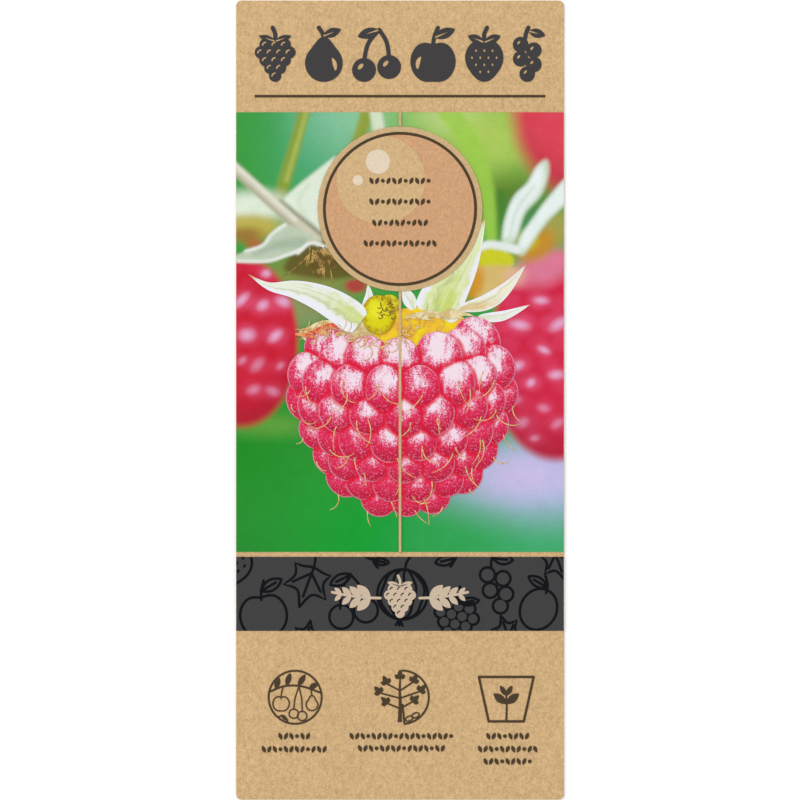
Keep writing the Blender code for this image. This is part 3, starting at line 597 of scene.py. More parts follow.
@dataclass(frozen=True)
class BoardFinish:
    """Kraft board, or a print that looks like it: mottled, with short fibres and a few flecks."""

    name: str
    colour: Colour
    grain: float = 1.0
    flecks: float = 1.0
    roughness: float = 0.85
    gloss: float = 0.12

    def make(self) -> Material:
        """Build the finish.

        Returns:
            The material.
        """
        surface = Surface(self.name, self.roughness, self.gloss)
        fine = surface.noise(2.8, 3.0, (1.0, 0.8, 1.0))
        fibres = surface.noise(1.15, 5.0, (1.15, 0.75, 1.0), 31.0)
        cloud = surface.noise(0.10, 2.0, shift=57.0)
        light = surface.math("MULTIPLY_ADD", fine, 0.78 * self.grain, 0.96 - 0.63 * self.grain)
        light = surface.math("MULTIPLY_ADD", fibres, 0.48 * self.grain, light)
        light = surface.math("MULTIPLY_ADD", cloud, 0.08, light)
        colour = surface.brighten(self.colour, light)
        dark = surface.step(surface.noise(0.9, 5.0, (1.3, 0.8, 1.0), 83.0), 0.66, 0.74, 0.55 * self.flecks)
        pale = surface.step(surface.noise(1.3, 5.0, (0.8, 1.2, 1.0), 119.0), 0.58, 0.74, 0.60 * self.flecks)
        colour = surface.mix(dark, colour, tuple(part * 0.52 for part in self.colour))
        colour = surface.mix(pale, colour, tuple(part * 1.10 + 0.07 for part in self.colour))
        return surface.finish(colour, fibres, 0.012)


@dataclass(frozen=True)
class InkFinish:
    """Ink that lets a little of the board's grain show through."""

    name: str
    colour: Colour
    grain: float = 0.5
    roughness: float = 0.7
    gloss: float = 0.08

    def make(self) -> Material:
        """Build the finish.

        Returns:
            The material.
        """
        surface = Surface(self.name, self.roughness, self.gloss)
        fine = surface.noise(3.2, 3.0, (1.0, 0.7, 1.0))
        worn = surface.step(surface.noise(2.2, 4.0, shift=41.0), 0.66, 0.80, 0.25 * self.grain)
        pale = tuple(part * 2.0 + 0.02 for part in self.colour)
        colour = surface.mix(worn, surface.vary(self.colour, fine, self.grain), pale)
        return surface.finish(colour, fine, 0.006)


@dataclass(frozen=True)
class PaintFinish:
    """Picture print, whose soft colours are stored on the mesh."""

    name: str = "picture_paint"
    roughness: float = 0.5
    gloss: float = 0.10

    def make(self) -> Material:
        """Build the finish.

        Returns:
            The material.
        """
        surface = Surface(self.name, self.roughness, self.gloss)
        paint = surface.attribute("paint", "Color")
        fine = surface.noise(2.4, 2.0)
        soft = surface.noise(0.35, 2.0, shift=23.0)
        light = surface.math("MULTIPLY_ADD", soft, 0.12, surface.math("MULTIPLY_ADD", fine, 0.16, 0.86))
        return surface.finish(surface.brighten(paint, light), fine, 0.002)


@dataclass(frozen=True)
class BerryFinish:
    """Ripe raspberry print: frosted tops, speckled crimson sides and glowing red gaps."""

    name: str = "ripe_berry"
    frost: Colour = linear(249, 228, 240)
    bloom: Colour = linear(240, 176, 203)
    red: Colour = linear(226, 40, 88)
    deep: Colour = linear(192, 18, 58)
    gap: Colour = linear(226, 12, 54)
    rim: Colour = linear(243, 172, 200)
    roughness: float = 0.45
    gloss: float = 0.10

    def make(self) -> Material:
        """Build the finish.

        Returns:
            The material.
        """
        surface = Surface(self.name, self.roughness, self.gloss)
        form = surface.attribute("form", "Vector")
        tint, rise = surface.attribute("tint"), surface.attribute("rise")
        lamp = {0: form, 1: (-0.10, 0.70, 0.71)}
        lit = surface.add("VectorMath", lamp, operation="DOT_PRODUCT").outputs["Value"]
        facing = surface.add("SeparateXYZ", {0: form}).outputs["Z"]
        speckle = surface.noise(3.4, 2.0)
        second = surface.noise(3.0, 2.0, shift=47.0)
        patchy = surface.noise(0.42, 2.0, shift=71.0)
        streaks = surface.noise(1.0, 2.0, (1.5, 0.40, 1.0), 91.0)
        worth = surface.attribute("crest")
        for value, weight, middle in (
            (speckle, 1.5, 0.5),
            (patchy, 1.1, 0.5),
            (streaks, 1.0, 0.5),
            (tint, 0.3, 0.0),
            (rise, 0.62, 0.0),
        ):
            worth = surface.math("MULTIPLY_ADD", surface.math("SUBTRACT", value, middle), weight, worth)
        colour = surface.mix(surface.step(lit, -0.25, 0.60), self.deep, self.red)
        for share, shade in (
            (surface.step(second, 0.53, 0.70, 0.45), self.bloom),
            (surface.step(second, 0.45, 0.34, 0.35), self.deep),
            (surface.step(worth, 0.26, 0.80, 0.9), self.bloom),
            (surface.step(worth, 0.52, 0.94), self.frost),
            (surface.step(facing, 0.42, 0.08, 0.75), self.rim),
            (surface.step(surface.attribute("hollow"), 0.30, 0.95, 0.9), self.gap),
        ):
            colour = surface.mix(share, colour, shade)
        return surface.finish(colour, speckle, 0.002)


@dataclass(frozen=True)
class BladeFinish:
    """Sepal print on the sheet's UV map: white bands at both sides, a tint near the foot and a dry tip."""

    name: str
    face: Colour
    tint: Colour
    band_width: float = 0.28
    band: Colour = linear(242, 242, 250)
    crease: Colour = linear(178, 190, 150)
    dry: Colour = linear(232, 160, 84)
    roughness: float = 0.5
    gloss: float = 0.10

    def make(self) -> Material:
        """Build the finish.

        Returns:
            The material.
        """
        surface = Surface(self.name, self.roughness, self.gloss)
        place = surface.add("UVMap", uv_map="UVMap").outputs[0]
        parts = surface.add("SeparateXYZ", {0: place})
        across, along = parts.outputs["X"], parts.outputs["Y"]
        wander = surface.math("MULTIPLY_ADD", surface.noise(0.45, 3.0), 0.55, -0.275)
        bent = surface.math("ADD", across, wander)
        long_ways = surface.add("Mapping", {"Vector": place, "Scale": (8.0, 1.6, 1.0)}).outputs[0]
        streaks = surface.add("TexNoise", {"Vector": long_ways, "Scale": 1.0, "Detail": 3.0}).outputs["Fac"]
        from_middle, from_crease = (
            surface.math("ABSOLUTE", surface.math("SUBTRACT", bent, middle)) for middle in (0.56, 0.40)
        )
        near_foot = surface.step(surface.math("ADD", along, wander), 0.50, 0.14, 0.9)
        patch = surface.math("MULTIPLY", near_foot, surface.step(from_middle, 0.40, 0.12))
        tip = surface.math("MULTIPLY_ADD", wander, 0.35, along)
        colour = self.face
        for share, shade in (
            (patch, self.tint),
            (surface.step(streaks, 0.52, 0.66, 0.36), self.crease),
            (surface.step(streaks, 0.47, 0.34, 0.60), self.band),
            (surface.step(from_crease, 0.09, 0.01, 0.45), self.crease),
            (surface.step(bent, self.band_width + 0.08, self.band_width - 0.08), self.band),
            (surface.step(bent, 0.84, 0.94, 0.85), self.band),
            (surface.step(tip, 0.86, 0.98, 0.85), self.dry),
        ):
            colour = surface.mix(share, colour, shade)
        fine = surface.noise(2.4, 3.0, shift=17.0)
        return surface.finish(surface.vary(colour, fine, 0.12), fine, 0.002)


@dataclass(frozen=True)
class RoundFinish:
    """Print of a small ball: light on one side, darker round its rim and mottled."""

    name: str
    middle: Point
    reach: Point
    light: Colour
    body: Colour
    rim: Colour
    roughness: float = 0.5
    gloss: float = 0.10

    def distance(self, surface: Surface, offset: Point) -> Socket:
        """Measure how far the surface is from a point beside the ball's middle.

        Args:
            surface: Material that the nodes go in.
            offset: Way from the middle to the point, as shares of the reach.

        Returns:
            The distance, 1 being about the rim.
        """
        scale = tuple(1.0 / (part * MM) for part in self.reach)
        shift = tuple(-at / reach - aside for at, reach, aside in zip(self.middle, self.reach, offset))
        values = {"Vector": surface.object_place, "Scale": (*scale, 0.0), "Location": (*shift, 0.0)}
        place = surface.add("Mapping", values).outputs[0]
        return surface.add("VectorMath", {0: place}, operation="LENGTH").outputs["Value"]

    def make(self) -> Material:
        """Build the finish.

        Returns:
            The material.
        """
        surface = Surface(self.name, self.roughness, self.gloss)
        fine = surface.noise(1.6, 4.0)
        uneven = surface.math("MULTIPLY_ADD", fine, 0.9, -0.45)
        rim = surface.step(surface.math("ADD", self.distance(surface, (0.0, 0.0)), uneven), 0.55, 1.1)
        glow = surface.step(surface.math("ADD", self.distance(surface, (-0.1, 0.25)), uneven), 0.75, 0.05)
        colour = surface.mix(glow, surface.mix(rim, self.body, self.rim), self.light)
        return surface.finish(colour, fine, 0.004)


@dataclass(frozen=True)
class MottledFinish:
    """Soft print in two tones that run into each other."""

    name: str
    first: Colour
    second: Colour
    scale: float = 0.6
    roughness: float = 0.5
    gloss: float = 0.10

    def make(self) -> Material:
        """Build the finish.

        Returns:
            The material.
        """
        surface = Surface(self.name, self.roughness, self.gloss)
        blend = surface.step(surface.noise(self.scale, 4.0), 0.38, 0.62)
        fine = surface.noise(2.6, 3.0, shift=13.0)
        colour = surface.mix(blend, self.first, self.second)
        return surface.finish(surface.vary(colour, fine, 0.20), fine, 0.002)


class Palette(Enum):
    """Finishes that several pieces share."""

    KRAFT = BoardFinish("kraft_board", linear(212, 177, 129))
    RIM = BoardFinish("badge_rim", linear(208, 177, 131), 0.6, 0.5)
    FACE = BoardFinish("badge_face", linear(212, 164, 122), 0.7, 0.6)
    GLOW = BoardFinish("badge_glow", linear(214, 180, 132), 0.7, 0.6)
    SPOT = BoardFinish("badge_spots", linear(232, 215, 189), 0.4, 0.2)
    INK = InkFinish("grey_ink", linear(66, 64, 65))
    BROWN_INK = InkFinish("brown_ink", linear(78, 63, 45))
    BAND = InkFinish("band_print", linear(66, 66, 67), 0.35)
    LINES = InkFinish("band_lines", linear(12, 14, 20), 0.3)
    TAN = InkFinish("tan_print", linear(210, 188, 164), 0.3)
    STRAW = MottledFinish("straw_hairs", linear(242, 214, 150), linear(222, 164, 92), 1.2)
    COLLAR = MottledFinish("collar_glow", linear(250, 218, 34), linear(240, 184, 56), 0.4)
    STAMEN = MottledFinish("stamen_brown", linear(104, 74, 34), linear(150, 118, 50), 1.0)
    SOFT_STAMEN = MottledFinish("tan_stamens", linear(196, 158, 92), linear(112, 84, 40), 0.5)
    PETAL = MottledFinish("dry_petals", linear(224, 92, 66), linear(236, 168, 110), 0.7)
    LOBE = MottledFinish("knob_lobe", linear(222, 214, 36), linear(188, 166, 34), 0.9)
    CREAM_PETAL = MottledFinish("cream_petals", linear(240, 226, 184), linear(214, 190, 128), 0.6)
    CREAM_BLADE = BladeFinish("cream_blade", linear(236, 242, 220), linear(210, 223, 132))
    WHITE_BLADE = BladeFinish("white_blade", linear(240, 243, 232), linear(226, 232, 196))
    GREEN_BLADE = BladeFinish("green_blade", linear(228, 238, 184), linear(204, 219, 104), 0.13)
    GOLD_BLADE = BladeFinish("gold_blade", linear(244, 240, 214), linear(228, 194, 126), 0.20)

    @cache
    def material(self) -> Material:
        """The finish as a material, built once."""
        return self.value.make()


def add_print(node: str, layers: Layers, finish: Palette, slot: str, kind: str = "print") -> None:
    """Add a flat print in the place of a CAD node, at its height.

    Args:
        node: Name of the node.
        layers: Outlines of the print.
        finish: Its finish.
        slot: Passed on to add_piece, which does not use it.
        kind: Word that ends the name of the piece.
    """
    area = Area.of(node)
    name = f"{node}_{kind}"
    add_piece(name, film_mesh(name, layers, area.low, area.high), finish.material(), slot, node)


class Tree(Network):
    """Geometry Nodes tree built in code, with named inputs for its sizes."""

    def __init__(self, name: str) -> None:
        """Start a tree.

        Args:
            name: Its name.
        """
        super().__init__(bpy.data.node_groups.new(name, "GeometryNodeTree"))
        for way in ("INPUT", "OUTPUT"):
            self.group.interface.new_socket("Geometry", in_out=way, socket_type="NodeSocketGeometry")
        self.start = self.group.nodes.new("NodeGroupInput")
        self.identifiers: dict[str, str] = {}

    @property
    def geometry(self) -> Socket:
        """Geometry that the tree starts from."""
        return self.start.outputs["Geometry"]

    def size(self, name: str, kind: str = "Float") -> Socket:
        """Add a named input.

        Args:
            name: Its name.
            kind: Its type of value, Float or Int.

        Returns:
            The value of the input inside the tree.
        """
        item = self.group.interface.new_socket(name, in_out="INPUT", socket_type="NodeSocket" + kind)
        self.identifiers[name] = item.identifier
        return self.start.outputs[name]

    def vector(self, **parts: Socket | float) -> Socket:
        """Vector from its parts X, Y and Z."""
        return self.add("CombineXYZ", parts).outputs[0]

    def stored(self, name: str, kind: str = "FLOAT") -> Socket:
        """Value that the points store under a name."""
        return self.add("InputNamedAttribute", {"Name": name}, data_type=kind).outputs["Attribute"]

    def finish(self, geometry: Socket, material: Material) -> None:
        """End the tree with realized instances and their material.

        Args:
            geometry: Geometry that the tree makes.
            material: Finish of all of it.
        """
        real = self.add("RealizeInstances", {"Geometry": geometry}).outputs[0]
        dressed = self.add("SetMaterial", {"Geometry": real, "Material": material}).outputs[0]
        end = self.group.nodes.new("NodeGroupOutput")
        self.group.links.new(dressed, end.inputs["Geometry"])

    def grow(self, name: str, mesh: Mesh, sizes: dict[str, float]) -> Mesh:
        """Run the tree on a mesh and keep the result as a plain mesh.

        Args:
            name: Name of the new mesh.
            mesh: Mesh that the tree starts from.
            sizes: Values of the named inputs.

        Returns:
            The evaluated mesh.
        """
        carrier = linked(name + "_carrier", mesh)
        modifier = carrier.modifiers.new("Tree", "NODES")
        modifier.node_group = self.group
        for key, value in sizes.items():
            modifier[self.identifiers[key]] = value
        graph = bpy.context.evaluated_depsgraph_get()
        result = bpy.data.meshes.new_from_object(carrier.evaluated_get(graph), depsgraph=graph)
        result.name = name
        carrier.modifiers.remove(modifier)
        bpy.data.objects.remove(carrier)
        return result


def point_mesh(name: str, places: np.ndarray, edges: Sequence[tuple[int, int]] = ()) -> Mesh:
    """Mesh of loose points or edges, in metres."""
    mesh = bpy.data.meshes.new(name)
    mesh.from_pydata((places * MM).tolist(), list(edges), [])
    return mesh


def store(mesh: Mesh, name: str, values: np.ndarray) -> None:
    """Store a number, a vector or a colour for each point of a mesh.

    Args:
        mesh: The mesh.
        name: Name of the attribute.
        values: One row for each point.
    """
    kinds = {1: ("FLOAT", "value"), 3: ("FLOAT_VECTOR", "vector"), 4: ("FLOAT_COLOR", "color")}
    kind, key = kinds[1 if values.ndim == 1 else values.shape[1]]
    attribute = mesh.attributes.new(name, kind, "POINT")
    attribute.data.foreach_set(key, np.ascontiguousarray(values, np.float32).ravel())


def mesh_points(mesh: Mesh) -> np.ndarray:
    """Places of a mesh's points in millimetres."""
    places = np.empty(len(mesh.vertices) * 3, np.float32)
    mesh.vertices.foreach_get("co", places)
    return places.reshape(-1, 3).astype(float) / MM


def at_level(flat: Outline, level: float | np.ndarray) -> np.ndarray:
    """Points of a flat path with their height, in three columns."""
    return np.column_stack([np.array(flat), np.full(len(flat), level)])


def strand_tree(name: str, material: Material) -> Tree:
    """Build the tree that sweeps a flat oval along every edge path.

    Args:
        name: Name of the tree.
        material: Finish of the strands.

    Returns:
        The tree, with inputs for the width and the thickness.
    """
    tree = Tree(name)
    width, depth = tree.size("Width"), tree.size("Thickness")
    path = tree.add("MeshToCurve", {"Mesh": tree.geometry}).outputs[0]
    level = tree.add("SetCurveNormal", {"Curve": path}, mode="Z_UP").outputs[0]
    ring = tree.add("CurvePrimitiveCircle", {"Resolution": 6, "Radius": 0.5}).outputs[0]
    shape = tree.vector(X=width, Y=depth, Z=1.0)
    profile = tree.add("Transform", {"Geometry": ring, "Scale": shape}).outputs[0]
    values = {"Curve": level, "Profile Curve": profile, "Fill Caps": True, "Scale": tree.stored("girth")}
    tree.finish(tree.add("CurveToMesh", values).outputs[0], material)
    return tree


def add_strands(
    name: str, paths: Sequence[np.ndarray], width: float, taper: float, look: Palette, slot: str
) -> None:
    """Add a piece of thin strands that follow paths.

    Args:
        name: Name of the piece.
        paths: Points in X, Y and Z along each strand.
        width: Width of a strand at its foot.
        taper: Share of the width that is lost at the tip.
        look: Finish of the strands.
        slot: Passed on to add_piece, which does not use it.
    """
    places, edges, girth = [], [], []
    for path in paths:
        first = len(places)
        places.extend(path)
        edges.extend((first + index, first + index + 1) for index in range(len(path) - 1))
        girth.extend(1.0 - taper * np.linspace(0.0, 1.0, len(path)) ** 1.5)
    mesh = point_mesh(name + "_paths", np.array(places), edges)
    store(mesh, "girth", np.array(girth))
    tree = strand_tree(name + "_tree", look.material())
    strands = tree.grow(name, mesh, {"Width": width * MM, "Thickness": STRAND_DEPTH * MM})
    add_piece(name, strands, look.material(), slot)


@dataclass
class Studio:
    """Pale floor, soft light and the camera over the card."""

    focal: float = 150.0
    sensor: float = 36.0
    picture_height: float = 170.9
    floor_size: float = 6.0
    floor_drop: float = 0.00003
    floor_colour: Colour = (0.93, 0.93, 0.93)
    world_light: float = 0.86
    lamp_power: float = 16.0
    lamp_size: float = 1.6
    lamp_place: tuple[float, float, float] = (-0.9, 0.9, 1.5)

    def build(self) -> None:
        """Make the floor, the light and the camera."""
        scene = bpy.context.scene
        scene.view_settings.view_transform = "Standard"
        camera = bpy.data.cameras.new("camera")
        camera.lens = self.focal
        camera.sensor_width = self.sensor
        scene.camera = linked("camera", camera)
        distance = self.picture_height * MM * self.focal / self.sensor
        scene.camera.location = (0.0, 0.0, distance + Area.of("card").high * MM)

        lamp = bpy.data.lights.new("soft_lamp", "AREA")
        lamp.shape = "DISK"
        lamp.size = self.lamp_size
        lamp.energy = self.lamp_power
        light = linked("soft_lamp", lamp)
        light.location = self.lamp_place
        light.rotation_euler = (-light.location).to_track_quat("-Z", "Y").to_euler()

        world = bpy.data.worlds.new("studio")
        world.use_nodes = True
        background = world.node_tree.nodes["Background"]
        background.inputs["Color"].default_value = (1.0, 1.0, 1.0, 1.0)
        background.inputs["Strength"].default_value = self.world_light
        scene.world = world

        half = self.floor_size / 2
        sides = ((-half, -half), (half, -half), (half, half), (-half, half))
        corners = [(x, y, -self.floor_drop) for x, y in sides]
        mesh = bpy.data.meshes.new("floor")
        mesh.from_pydata(corners, [], [(0, 1, 2, 3)])
        surface = Surface("floor_paint", 0.9, 0.1)
        tone = surface.add("RGB").outputs[0]
        tone.default_value = (*self.floor_colour, 1.0)
        mesh.materials.append(surface.finish(tone))
        linked("floor", mesh)


@dataclass
class Card:
    """Kraft card with rounded corners and softly cut edges."""

    corner: float = 1.15
    edge: float = 0.07
    steps: int = 10

    def ring(self, inset: float) -> Outline:
        """Outline of the card, drawn in by an inset.

        Args:
            inset: Distance that it is drawn in by.

        Returns:
            The outline with its rounded corners.
        """
        area = Area.of("card")
        outline = []
        reach = self.corner - inset
        for corner, (side_x, side_y) in enumerate(((1, 1), (-1, 1), (-1, -1), (1, -1))):
            x = side_x * (area.width / 2 - self.corner)
            y = side_y * (area.length / 2 - self.corner)
            for step in range(self.steps + 1):
                angle = pi / 2.0 * (corner + step / self.steps)
                outline.append((x + reach * cos(angle), y + reach * sin(angle)))
        return outline

    def build(self) -> None:
        """Make the card from rings that round its cut edges."""
        area = Area.of("card")
        bm = bmesh.new()
        low, high = area.low, area.high
        levels = ((self.edge, low), (0.0, low + self.edge), (0.0, high - self.edge), (self.edge, high))
        rings = []
        for inset, height in levels:
            rings.append([bm.verts.new((x * MM, y * MM, height * MM)) for x, y in self.ring(inset)])
        for lower, upper in zip(rings, rings[1:]):
            for index in range(len(lower)):
                after = (index + 1) % len(lower)
                bm.faces.new((lower[index], lower[after], upper[after], upper[index]))
        bm.faces.new(rings[0][::-1])
        bm.faces.new(rings[-1])
        bmesh.ops.triangulate(bm, faces=[face for face in bm.faces if len(face.verts) > 4])
        mesh = closed_mesh("kraft_card", bm)
        add_piece("kraft_card", mesh, Palette.KRAFT.material(), "kraft_card", "card")


def smooth(value: np.ndarray, start: float, end: float) -> np.ndarray:
    """Smooth step of an array between two values."""
    share = np.clip((value - start) / (end - start), 0.0, 1.0)
    return share * share * (3.0 - 2.0 * share)


class Canvas:
    """Soft colours over the picture's area, one for each point of its mesh."""

    def __init__(self, area: Area, pitch: float, shade: Shade) -> None:
        """Start with one even colour.

        Args:
            area: Area of the picture.
            pitch: Distance between two points.
            shade: The even colour.
        """
        self.area = area
        across = np.linspace(area.left, area.right, round(area.width / pitch) + 1)
        along = np.linspace(area.bottom, area.top, round(area.length / pitch) + 1)
        self.x, self.y = np.meshgrid(across, along)
        self.colour = np.ones((*self.x.shape, 3)) * np.array(linear(*shade))

    def lay(self, shade: Shade, cover: np.ndarray) -> None:
        """Lay a colour over the canvas, cover being its share at each point."""
        self.colour += (np.array(linear(*shade)) - self.colour) * cover[..., None]

    def oval(self, place: Point, reach: Point, turn: float = 0.0) -> np.ndarray:
        """Distance from the middle of an oval.

        Args:
            place: Its middle.
            reach: Its reach across and along.
            turn: Angle that it is turned by, in degrees.

        Returns:
            The distance of each point, 1 being the oval's outline.
        """
        angle = radians(turn)
        dx, dy = self.x - place[0], self.y - place[1]
        across = dx * cos(angle) + dy * sin(angle)
        along = dy * cos(angle) - dx * sin(angle)
        return np.hypot(across / reach[0], along / reach[1])

    def measure(self, start: Point, end: Point) -> tuple[np.ndarray, np.ndarray]:
        """Find where each point lies beside a straight line.

        Args:
            start: Start of the line.
            end: Its end.

        Returns:
            The share of the way along the line, and the distance from it.
        """
        (x, y), step_x, step_y = start, end[0] - start[0], end[1] - start[1]
        along = ((self.x - x) * step_x + (self.y - y) * step_y) / (step_x ** 2 + step_y ** 2)
        along = np.clip(along, 0.0, 1.0)
        return along, np.hypot(self.x - x - along * step_x, self.y - y - along * step_y)

    def patch(
        self, shade: Shade, place: Point, reach: Point, share: float, fade: float = 1.0, turn: float = 0.0
    ) -> None:
        """Lay a soft oval of colour, whose edge fades over a share of its reach."""
        self.lay(shade, share * (1.0 - smooth(self.oval(place, reach, turn), 1.0 - fade, 1.0 + fade)))

    def ribbon(self, shade: Shade, widths: Point, blur: float, share: float, *points: Point) -> None:
        """Lay a soft ribbon of colour along a path.

        Args:
            shade: Its colour.
            widths: Width at its start and at its end.
            blur: Distance that its edge fades over.
            share: How much of the colour shows in the middle.
            *points: Points that the path goes through.
        """
        path = curve_path(points, 6)
        cover = np.zeros_like(self.x)
        for index, (start, end) in enumerate(zip(path, path[1:])):
            along, away = self.measure(start, end)
            progress = (index + along) / (len(path) - 1)
            half = (widths[0] + (widths[1] - widths[0]) * progress) / 2
            cover = np.maximum(cover, 1.0 - smooth(away - half, -blur, blur))
        self.lay(shade, cover * share)

    def form(self, shade: Shade, blur: float, share: float, *points: Point) -> None:
        """Lay a closed form with a soft outline.

        Args:
            shade: Its colour.
            blur: Distance that its edge fades over.
            share: How much of the colour shows in the middle.
            *points: Points that its smooth outline goes through.
        """
        path = curve_path([*points, points[0]], 5)
        inside = np.zeros(self.x.shape, bool)
        away = np.full(self.x.shape, np.inf)
        for start, end in zip(path, path[1:]):
            away = np.minimum(away, self.measure(start, end)[1])
            crossing = start[0] + (self.y - start[1]) * (end[0] - start[0]) / (end[1] - start[1] or 1.0)
            inside ^= ((start[1] > self.y) != (end[1] > self.y)) & (self.x < crossing)
        self.lay(shade, share * smooth(np.where(inside, away, -away), -blur, blur))

    def mesh(self, name: str) -> Mesh:
        """Make the closed panel that carries the colours.

        Args:
            name: Name of the mesh.

        Returns:
            The mesh with its attribute named paint.
        """
        mesh, owner = grid_mesh(name, np.stack([self.x, self.y], -1), self.area.low, self.area.high)
        store(mesh, "paint", np.column_stack([self.colour.reshape(-1, 3)[owner], np.ones(len(owner))]))
        return mesh


@dataclass(frozen=True)
class SoftBerry:
    """Berry out of focus, from soft cells and the pale shines on some of them."""

    place: Point
    reach: Point
    blur: float
    body: Shade
    glow: Shade
    shines: tuple[Point, ...] = ()
    faint_shines: tuple[Point, ...] = ()
    cell: float = 5.4
    seed: int = 7
    dusk: Shade = (158, 22, 44)
    halo: Shade = (230, 96, 136)
    shine: Shade = (232, 182, 220)

    def paint(self, canvas: Canvas) -> None:
        """Lay the berry.

        Args:
            canvas: Canvas that it goes on.
        """
        fade = self.blur / self.reach[0]
        distance = canvas.oval(self.place, self.reach)
        inside = 1.0 - smooth(distance, 1.0 - fade, 1.0 + fade * 0.6)
        canvas.lay(self.body, inside)
        rng = np.random.default_rng(self.seed)
        (x, y), (across, along) = self.place, self.reach
        for row in range(int(along * 2 / (self.cell * 0.84)) + 1):
            for column in range(int(across * 2 / self.cell) + 2):
                cell_x = x - across + (column + 0.5 * (row % 2)) * self.cell + rng.uniform(-0.6, 0.6)
                cell_y = y + along - (row + 0.5) * self.cell * 0.84 + rng.uniform(-0.6, 0.6)
                rise = 0.5 + 0.5 * (cell_y - y) / along
                near = canvas.oval((cell_x, cell_y), (self.cell * 0.5, self.cell * 0.46))
                canvas.lay(self.glow, (1.0 - smooth(near, 0.35, 1.2)) * inside * (0.16 + 0.42 * rise))
        dusk = smooth(y - canvas.y, -0.2 * along, along) * smooth(distance, 0.45, 1.0)
        canvas.lay(self.dusk, inside * dusk * 0.62)
        for places, share in ((self.shines, 0.82), (self.faint_shines, 0.42)):
            for shine_x, shine_y in places:
                spot = (shine_x + rng.uniform(-0.5, 0.5), shine_y + rng.uniform(-0.5, 0.5))
                size = rng.uniform(0.75, 1.25)
                halo = 1.0 - smooth(canvas.oval(spot, (3.1 * size, 2.4 * size)), 0.1, 1.2)
                canvas.lay(self.halo, halo * inside * share * 0.7)
                reach = (rng.uniform(1.3, 2.2) * size, rng.uniform(0.9, 1.3) * size)
                shine = 1.0 - smooth(canvas.oval(spot, reach, rng.uniform(-40.0, 50.0)), 0.0, 1.3)
                canvas.lay(self.shine, shine * inside * share)


